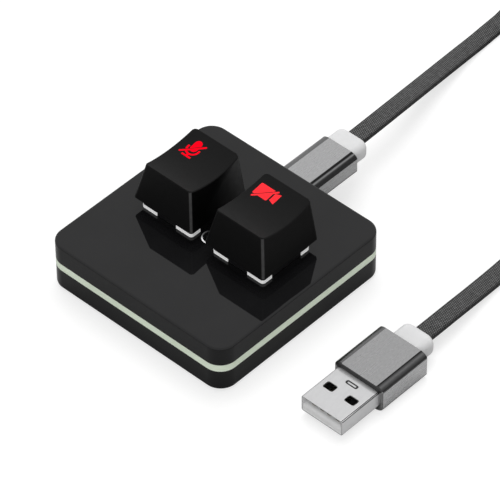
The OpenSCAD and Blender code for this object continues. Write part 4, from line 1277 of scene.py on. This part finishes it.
def roll_mark(x, z, half, high, edge):
    """A rule for a bar along Y: 0 on top, 1 or -1 past the edge, 1.1 on the side, 1.4 at the ends."""
    def rule(spot, face, normal):
        # Faces that look along Y are split at a diagonal into 1.4 above and -1.4 below, so that the bands can
        # give a grip's front painted shade on its upper part.
        if abs(face.normal.y) > 0.2:
            middle = face.center / MM
            upper = middle.z - z > (abs(middle.x - x) - half) + high / 2 - 0.6
            return 1.4 if upper else -1.4
        if abs(face.normal.z) > 0.9999:
            return 0.0
        out = (abs(spot.x - x) - (half - edge)) / edge
        side = 1.0 if spot.x > x else -1.0
        if abs(face.normal.x) > 0.9999:
            return 1.1 * side
        return side * asin(min(max(out, 0.0), 1.0)) / (pi / 2)
    return rule

# %% Plugs: making a grip


def make_grip(name, x, z, wide, high, start, end, front):
    """A tube with rolled long edges and a round front edge."""
    tall = high * EDGE_ON_TOP / EDGE_ON_SIDE
    grip = add_bar(name, (x, z), wide, tall, start + front, end, EDGE_ON_TOP, 12)
    edit(grip)
    bpy.ops.mesh.select_all(action="SELECT")
    bpy.ops.transform.resize(value=(1.0, 1.0, high / tall), center_override=(0.0, 0.0, z * MM))
    hole = (0.0, 1 - 2 * GRIP_WALL / wide, 1 - 2 * GRIP_WALL / high)
    choose("FACE", facing(1, 1))
    draw_out((x, end, z), [hole])
    bpy.ops.mesh.delete(type="ONLY_FACE")
    choose("FACE", facing(1, -1))
    turns = [pi / 2 * k / 4 for k in range(5)]
    steps = [(front * (sin(a) - sin(b)), 1 - 2 * front * (1 - cos(b)) / wide,
              1 - 2 * front * (1 - cos(b)) / high) for a, b in zip(turns, turns[1:])]
    lip = (1 - 2 * GRIP_WALL / wide, 1 - 2 * LIP_WALL / high)
    draw_out((x, start, z), steps + [(0.0, *lip), (LIP_DEEP, *lip), hole])
    join_open_rims()
    smooth(grip, 30.0)
    mark_corners(grip, "roll", roll_mark(x, z, wide / 2, high, EDGE_ON_TOP))
    return grip


# %% Plugs: two grips
USB_X = 49.4
USB_Z = 3.65
back_grip = make_grip("back_grip", *PLUG_AT, wide=10.7, high=6.0, start=27.0, end=42.0, front=0.2)
wear(back_grip, "case", "grip", grip_metal("back_grip_metal", BACK_PAINTED_BANDS), "back_plug_grip")
usb_grip = make_grip("usb_grip", USB_X, USB_Z, wide=14.1, high=7.3, start=-6.9, end=8.2, front=0.45)
wear(usb_grip, "case", "grip", grip_metal("usb_grip_metal", USB_PAINTED_BANDS), "usb_plug_grip")

# %% [markdown]
# ## Plugs: collars
# A soft collar keeps the cable from breaking where it leaves the grip. It is a bar with very
# round edges. Its far end is drawn out in steps that follow a quarter circle, which closes it
# in on the cable evenly, where a bevel would have run into the round edges.

# %% Plugs: collars
COLLAR_HIGH = 5.2
BACK_COLLAR_LONG = 5.3
USB_COLLAR_LONG = 6.0
COLLAR_ROUND = 1.4
COLLAR_IN = 1.3
COLLAR_LOSS = 1.8
COLLAR_EDGE = 1.9


def make_collar(name, x, z, wide, start, long):
    """A round-edged bar whose far end closes in on the cable in steps."""
    straight = long - COLLAR_ROUND
    collar = add_bar(name, (x, z), wide, COLLAR_HIGH, start, start + straight, COLLAR_EDGE, 8)
    edit(collar)
    choose("FACE", facing(1, 1))
    turns = [pi / 2 * k / 8 for k in range(9)]
    less_wide = 2 * COLLAR_IN / wide
    less_high = COLLAR_LOSS / COLLAR_HIGH
    draw_out((x, start, z), [(COLLAR_ROUND * (sin(b) - sin(a)), 1 - less_wide * (1 - cos(b)),
                              1 - less_high * (1 - cos(b))) for a, b in zip(turns, turns[1:])])
    smooth(collar, 50.0)
    return collar


back_collar = make_collar("back_collar", -0.3, 9.2, wide=9.0, start=42.0, long=BACK_COLLAR_LONG)
wear(back_collar, "case", "collar", milky_plastic(), "back_plug_collar")
usb_collar = make_collar("usb_collar", USB_X, USB_Z, wide=8.9, start=8.2, long=USB_COLLAR_LONG)
wear(usb_collar, "case", "collar", milky_plastic(), "usb_plug_collar")

# %% [markdown]
# ## Plugs: metal shell of the big plug
# The shell is one sheet folded round and stamped: two windows where the socket's springs
# snap in, and a shallow ring-shaped groove. A bar opened from end to end is that sheet. The
# windows and the groove are cut with upright blocks whose corners were rounded first.

# %% Plugs: metal shell of the big plug
SHELL_WIDE = 12.0
SHELL_HIGH = 4.5
SHELL_FRONT = -18.8
SHELL_END = -1.3
SHELL_EDGE = 0.45
SHEET = 0.3
WINDOW_ASIDE = 3.15
WINDOW_HALF = 1.45
WINDOW_FROM = 5.175
WINDOW_TO = 7.325
GROOVE_HALF = 1.7
GROOVE_FROM = 9.35
GROOVE_TO = 10.45
GROOVE_FLOOR = 5.66
GROOVE_WIDE = 0.30
PUNCH_ROUND = 0.5


def punch(name, low, high, segments):
    """An upright block with rounded corners, left in edit mode."""
    made = add_block(name, low, high)
    edit(made)
    choose("EDGE", along(2))
    round_off(PUNCH_ROUND, segments)
    return made


# %% Plugs: the shell's sheet, windows and groove
shell = add_bar("usb_shell", (USB_X, USB_Z), SHELL_WIDE, SHELL_HIGH, SHELL_FRONT, SHELL_END, SHELL_EDGE, 5)
edit(shell)
open_through(1, SHEET)
rest()
for s in (-1, 1):
    window = punch("window", (USB_X + s * WINDOW_ASIDE - WINDOW_HALF, SHELL_FRONT + WINDOW_FROM, -1.0),
                   (USB_X + s * WINDOW_ASIDE + WINDOW_HALF, SHELL_FRONT + WINDOW_TO, 7.0), 5)
    rest()
    cut(shell, window)
groove = punch("groove", (USB_X - GROOVE_HALF, SHELL_FRONT + GROOVE_FROM, GROOVE_FLOOR),
               (USB_X + GROOVE_HALF, SHELL_FRONT + GROOVE_TO, 6.5), 6)
open_through(2, GROOVE_WIDE, share=(0.86, 1.0, 1.0), centre=(USB_X, 0.0, 0.0))
rest()
cut(shell, groove)
soften(shell, 0.06, 2, 50.0)
smooth(shell, 30.0)
print("shell: %.1f by %.1f mm" % (SHELL_WIDE, SHELL_HIGH))

# %% Plugs: marks on the shell
rolled = roll_mark(USB_X, USB_Z, SHELL_WIDE / 2, SHELL_HIGH, SHELL_EDGE)


def shell_mark(spot, face, normal):
    """The edges as on the grips, the lip like the top, -1.3 in the groove for painted shade there, 1.1 inside
    by the mouth and 1.4 further in, where painted shade darkens it.
    """
    middle = face.center / MM
    deep = min(SHELL_WIDE / 2 - abs(middle.x - USB_X), SHELL_HIGH / 2 - abs(middle.z - USB_Z))
    if middle.y < SHELL_FRONT + 0.05:
        return 0.0
    by_groove = middle.y > SHELL_FRONT + 8.8 and abs(middle.x - USB_X) < 2.0
    if deep > 0.05 and by_groove and middle.z > USB_Z + 2.0:
        return -1.3
    if deep > 0.13:
        return 1.4 if spot.y > SHELL_FRONT + 1.0 else 1.1
    return rolled(spot, face, normal)


mark_corners(shell, "roll", shell_mark)
wear(shell, "case", "plug_shell", plated_steel("shell_steel", SHELL_PAINTED_BANDS), "usb_plug_shell")

# %% [markdown]
# ## Plugs: insulator of the big plug
# A pale tongue carries the contacts inside the shell. Light reaches its front and not its
# back, so the mouth looks pale and the windows look black. Real depth would need a darker
# lamp in there. That shade is painted here: a colour that falls off along the plug shows the same
# from every side, and a faint glow in that colour is painted light.

# %% Plugs: insulator of the big plug
MOUTH_PALE_TO = -17.2
MOUTH_DARK_FROM = -15.8


def insulator_plastic():
    """Pale at the mouth and darker further in by painted shade, with a faint painted glow."""
    made = new_finish("insulator_plastic", (0.5, 0.5, 0.5), 0.5, ior=1.45, specular=0.3)
    # Painted shade: pale at the mouth, nearly black further in; the glow below follows the same colour as
    # painted light.
    inwards = spread(made, distance_along(made, "Y"), MOUTH_PALE_TO * MM, MOUTH_DARK_FROM * MM, 0.0, 1.0)
    painted_mouth_shade = ramp(made, inwards, [(0.0, 0.80, 0.80, 0.80), (1.0, 0.02, 0.02, 0.02)])
    speckle = spread(made, grain(made, 900.0), NOISE_LOW, NOISE_HIGH, 0.94, 1.0)
    speckled = times(made, painted_mouth_shade, speckle)
    glow(made, (1.0, 1.0, 1.0), 0.03)
    link(made, speckled, shader_of(made).inputs["Base Color"])
    link(made, speckled, shader_of(made).inputs["Emission Color"])
    vary_roughness(made, grain(made, 1500.0), 0.45, 0.6)
    raise_by(made, grain(made, 3500.0), 0.003)
    return made


tongue_low, tongue_high = [[c / MM for c in corner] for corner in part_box("usb_plug_tongue")]
tongue = add_block("usb_tongue", tongue_low, tongue_high)
edit(tongue)
choose("EDGE", lambda m, e: m.y < tongue_low[1] + 0.01 and m.z > tongue_high[2] - 0.01)
round_off(0.9, 7)
rest()
smooth(tongue, 50.0)
wear(tongue, "case", "insulator", insulator_plastic(), "usb_plug_tongue")

# %% [markdown]
# ## What the frame already has right
# The parts inside the case and the small ones on it are simple solids that hardly show.
# Making them again would only repeat the frame, so they keep its shapes, and each gets the
# finish of what it is: rubber, steel, red and black plastic, board, chips, gold.

# %% Finishes of the frame's own parts
dress(foot_rubber(), "rubber_feet")
dress(screw_steel, "case_screws", "socket_shell", "back_plug_tip")
dress(legend_red("legend_red", 0.02, 0.0003, 0.012), "left_legend")
# Paler red with more specular: a painted sheen on the right legend; both inlays are the same red.
dress(legend_red("legend_red_painted_sheen", 0.2, 0.02, 0.03), "right_legend")
dress(plain_plastic("stem_red", (0.30, 0.02, 0.015), (0.38, 0.03, 0.02)), "left_stem", "right_stem")
dress(plain_plastic("cover_black", (0.004, 0.004, 0.0045), (0.008, 0.008, 0.0085), 0.4, 0.2),
      "left_switch_cover", "right_switch_cover")
dress(plain_plastic("board_green", (0.01, 0.10, 0.045), (0.02, 0.14, 0.06), 0.3), "circuit_board")
dress(plain_plastic("chip_black", (0.012, 0.012, 0.012), (0.02, 0.02, 0.02), 0.5), "controller_chip",
      "socket_tongue")
dress(plain_plastic("chip_tan", (0.20, 0.15, 0.09), (0.30, 0.24, 0.16)), "board_parts")
dress(plain_plastic("lamp_clear", (0.80, 0.78, 0.62), (0.88, 0.86, 0.70), 0.2), "side_lights", "status_light",
      "left_key_light", "right_key_light")
dress(plain_plastic("smoked_lens", (0.004, 0.004, 0.004), (0.008, 0.008, 0.008), 0.12, 0.3), "status_lens")
dress(plain_metal("gold_plate", (0.72, 0.53, 0.22), (0.82, 0.62, 0.28), 0.25), "left_contacts",
      "right_contacts")
# Greyer gold, darker as painted shade for contacts that sit inside the shell.
dress(plain_metal("gold_in_painted_shade", (0.36, 0.34, 0.29), (0.44, 0.42, 0.37), 0.3), "usb_plug_contacts")
dress(plain_plastic("core_black", (0.002, 0.002, 0.002), (0.004, 0.004, 0.004), 0.6, 0.15),
      "usb_plug_core", "back_plug_core")

# %% [markdown]
# ## Tie of the coil
# A hook-and-loop strap holds the coil. Its ribs are too fine to be worth geometry, so one
# wave along the strap colours them and raises them a little.

# %% Tie of the coil
RIB_PITCH = 0.8


def strap_fabric():
    """The tie: a narrow hook-and-loop strap with a ribbed face."""
    made = new_finish("strap_fabric", (0.02, 0.02, 0.02), 0.85, specular=0.2)
    turns = work_out(made, "MULTIPLY", distance_along(made, "X"), 2 * pi / (RIB_PITCH * MM))
    ribs = work_out(made, "SINE", turns)
    vary_color(made, ribs, (0.012, 0.012, 0.012), (0.03, 0.03, 0.03), 0.0, 1.0)
    vary_roughness(made, grain(made, 900.0), 0.78, 0.92)
    raise_by(made, ribs, 0.08)
    return made


dress(strap_fabric(), "coil_tie")

# %% [markdown]
# ## Cable: finish
# The tube made at the start gets its weave, is tied to the case and stands in for the
# frame's three parts of the cable, which are hidden.

# %% Cable: finish
wear(woven_cable, "case", "cable", woven_grey(), "cable_near", "cable_coil", "cable_far")
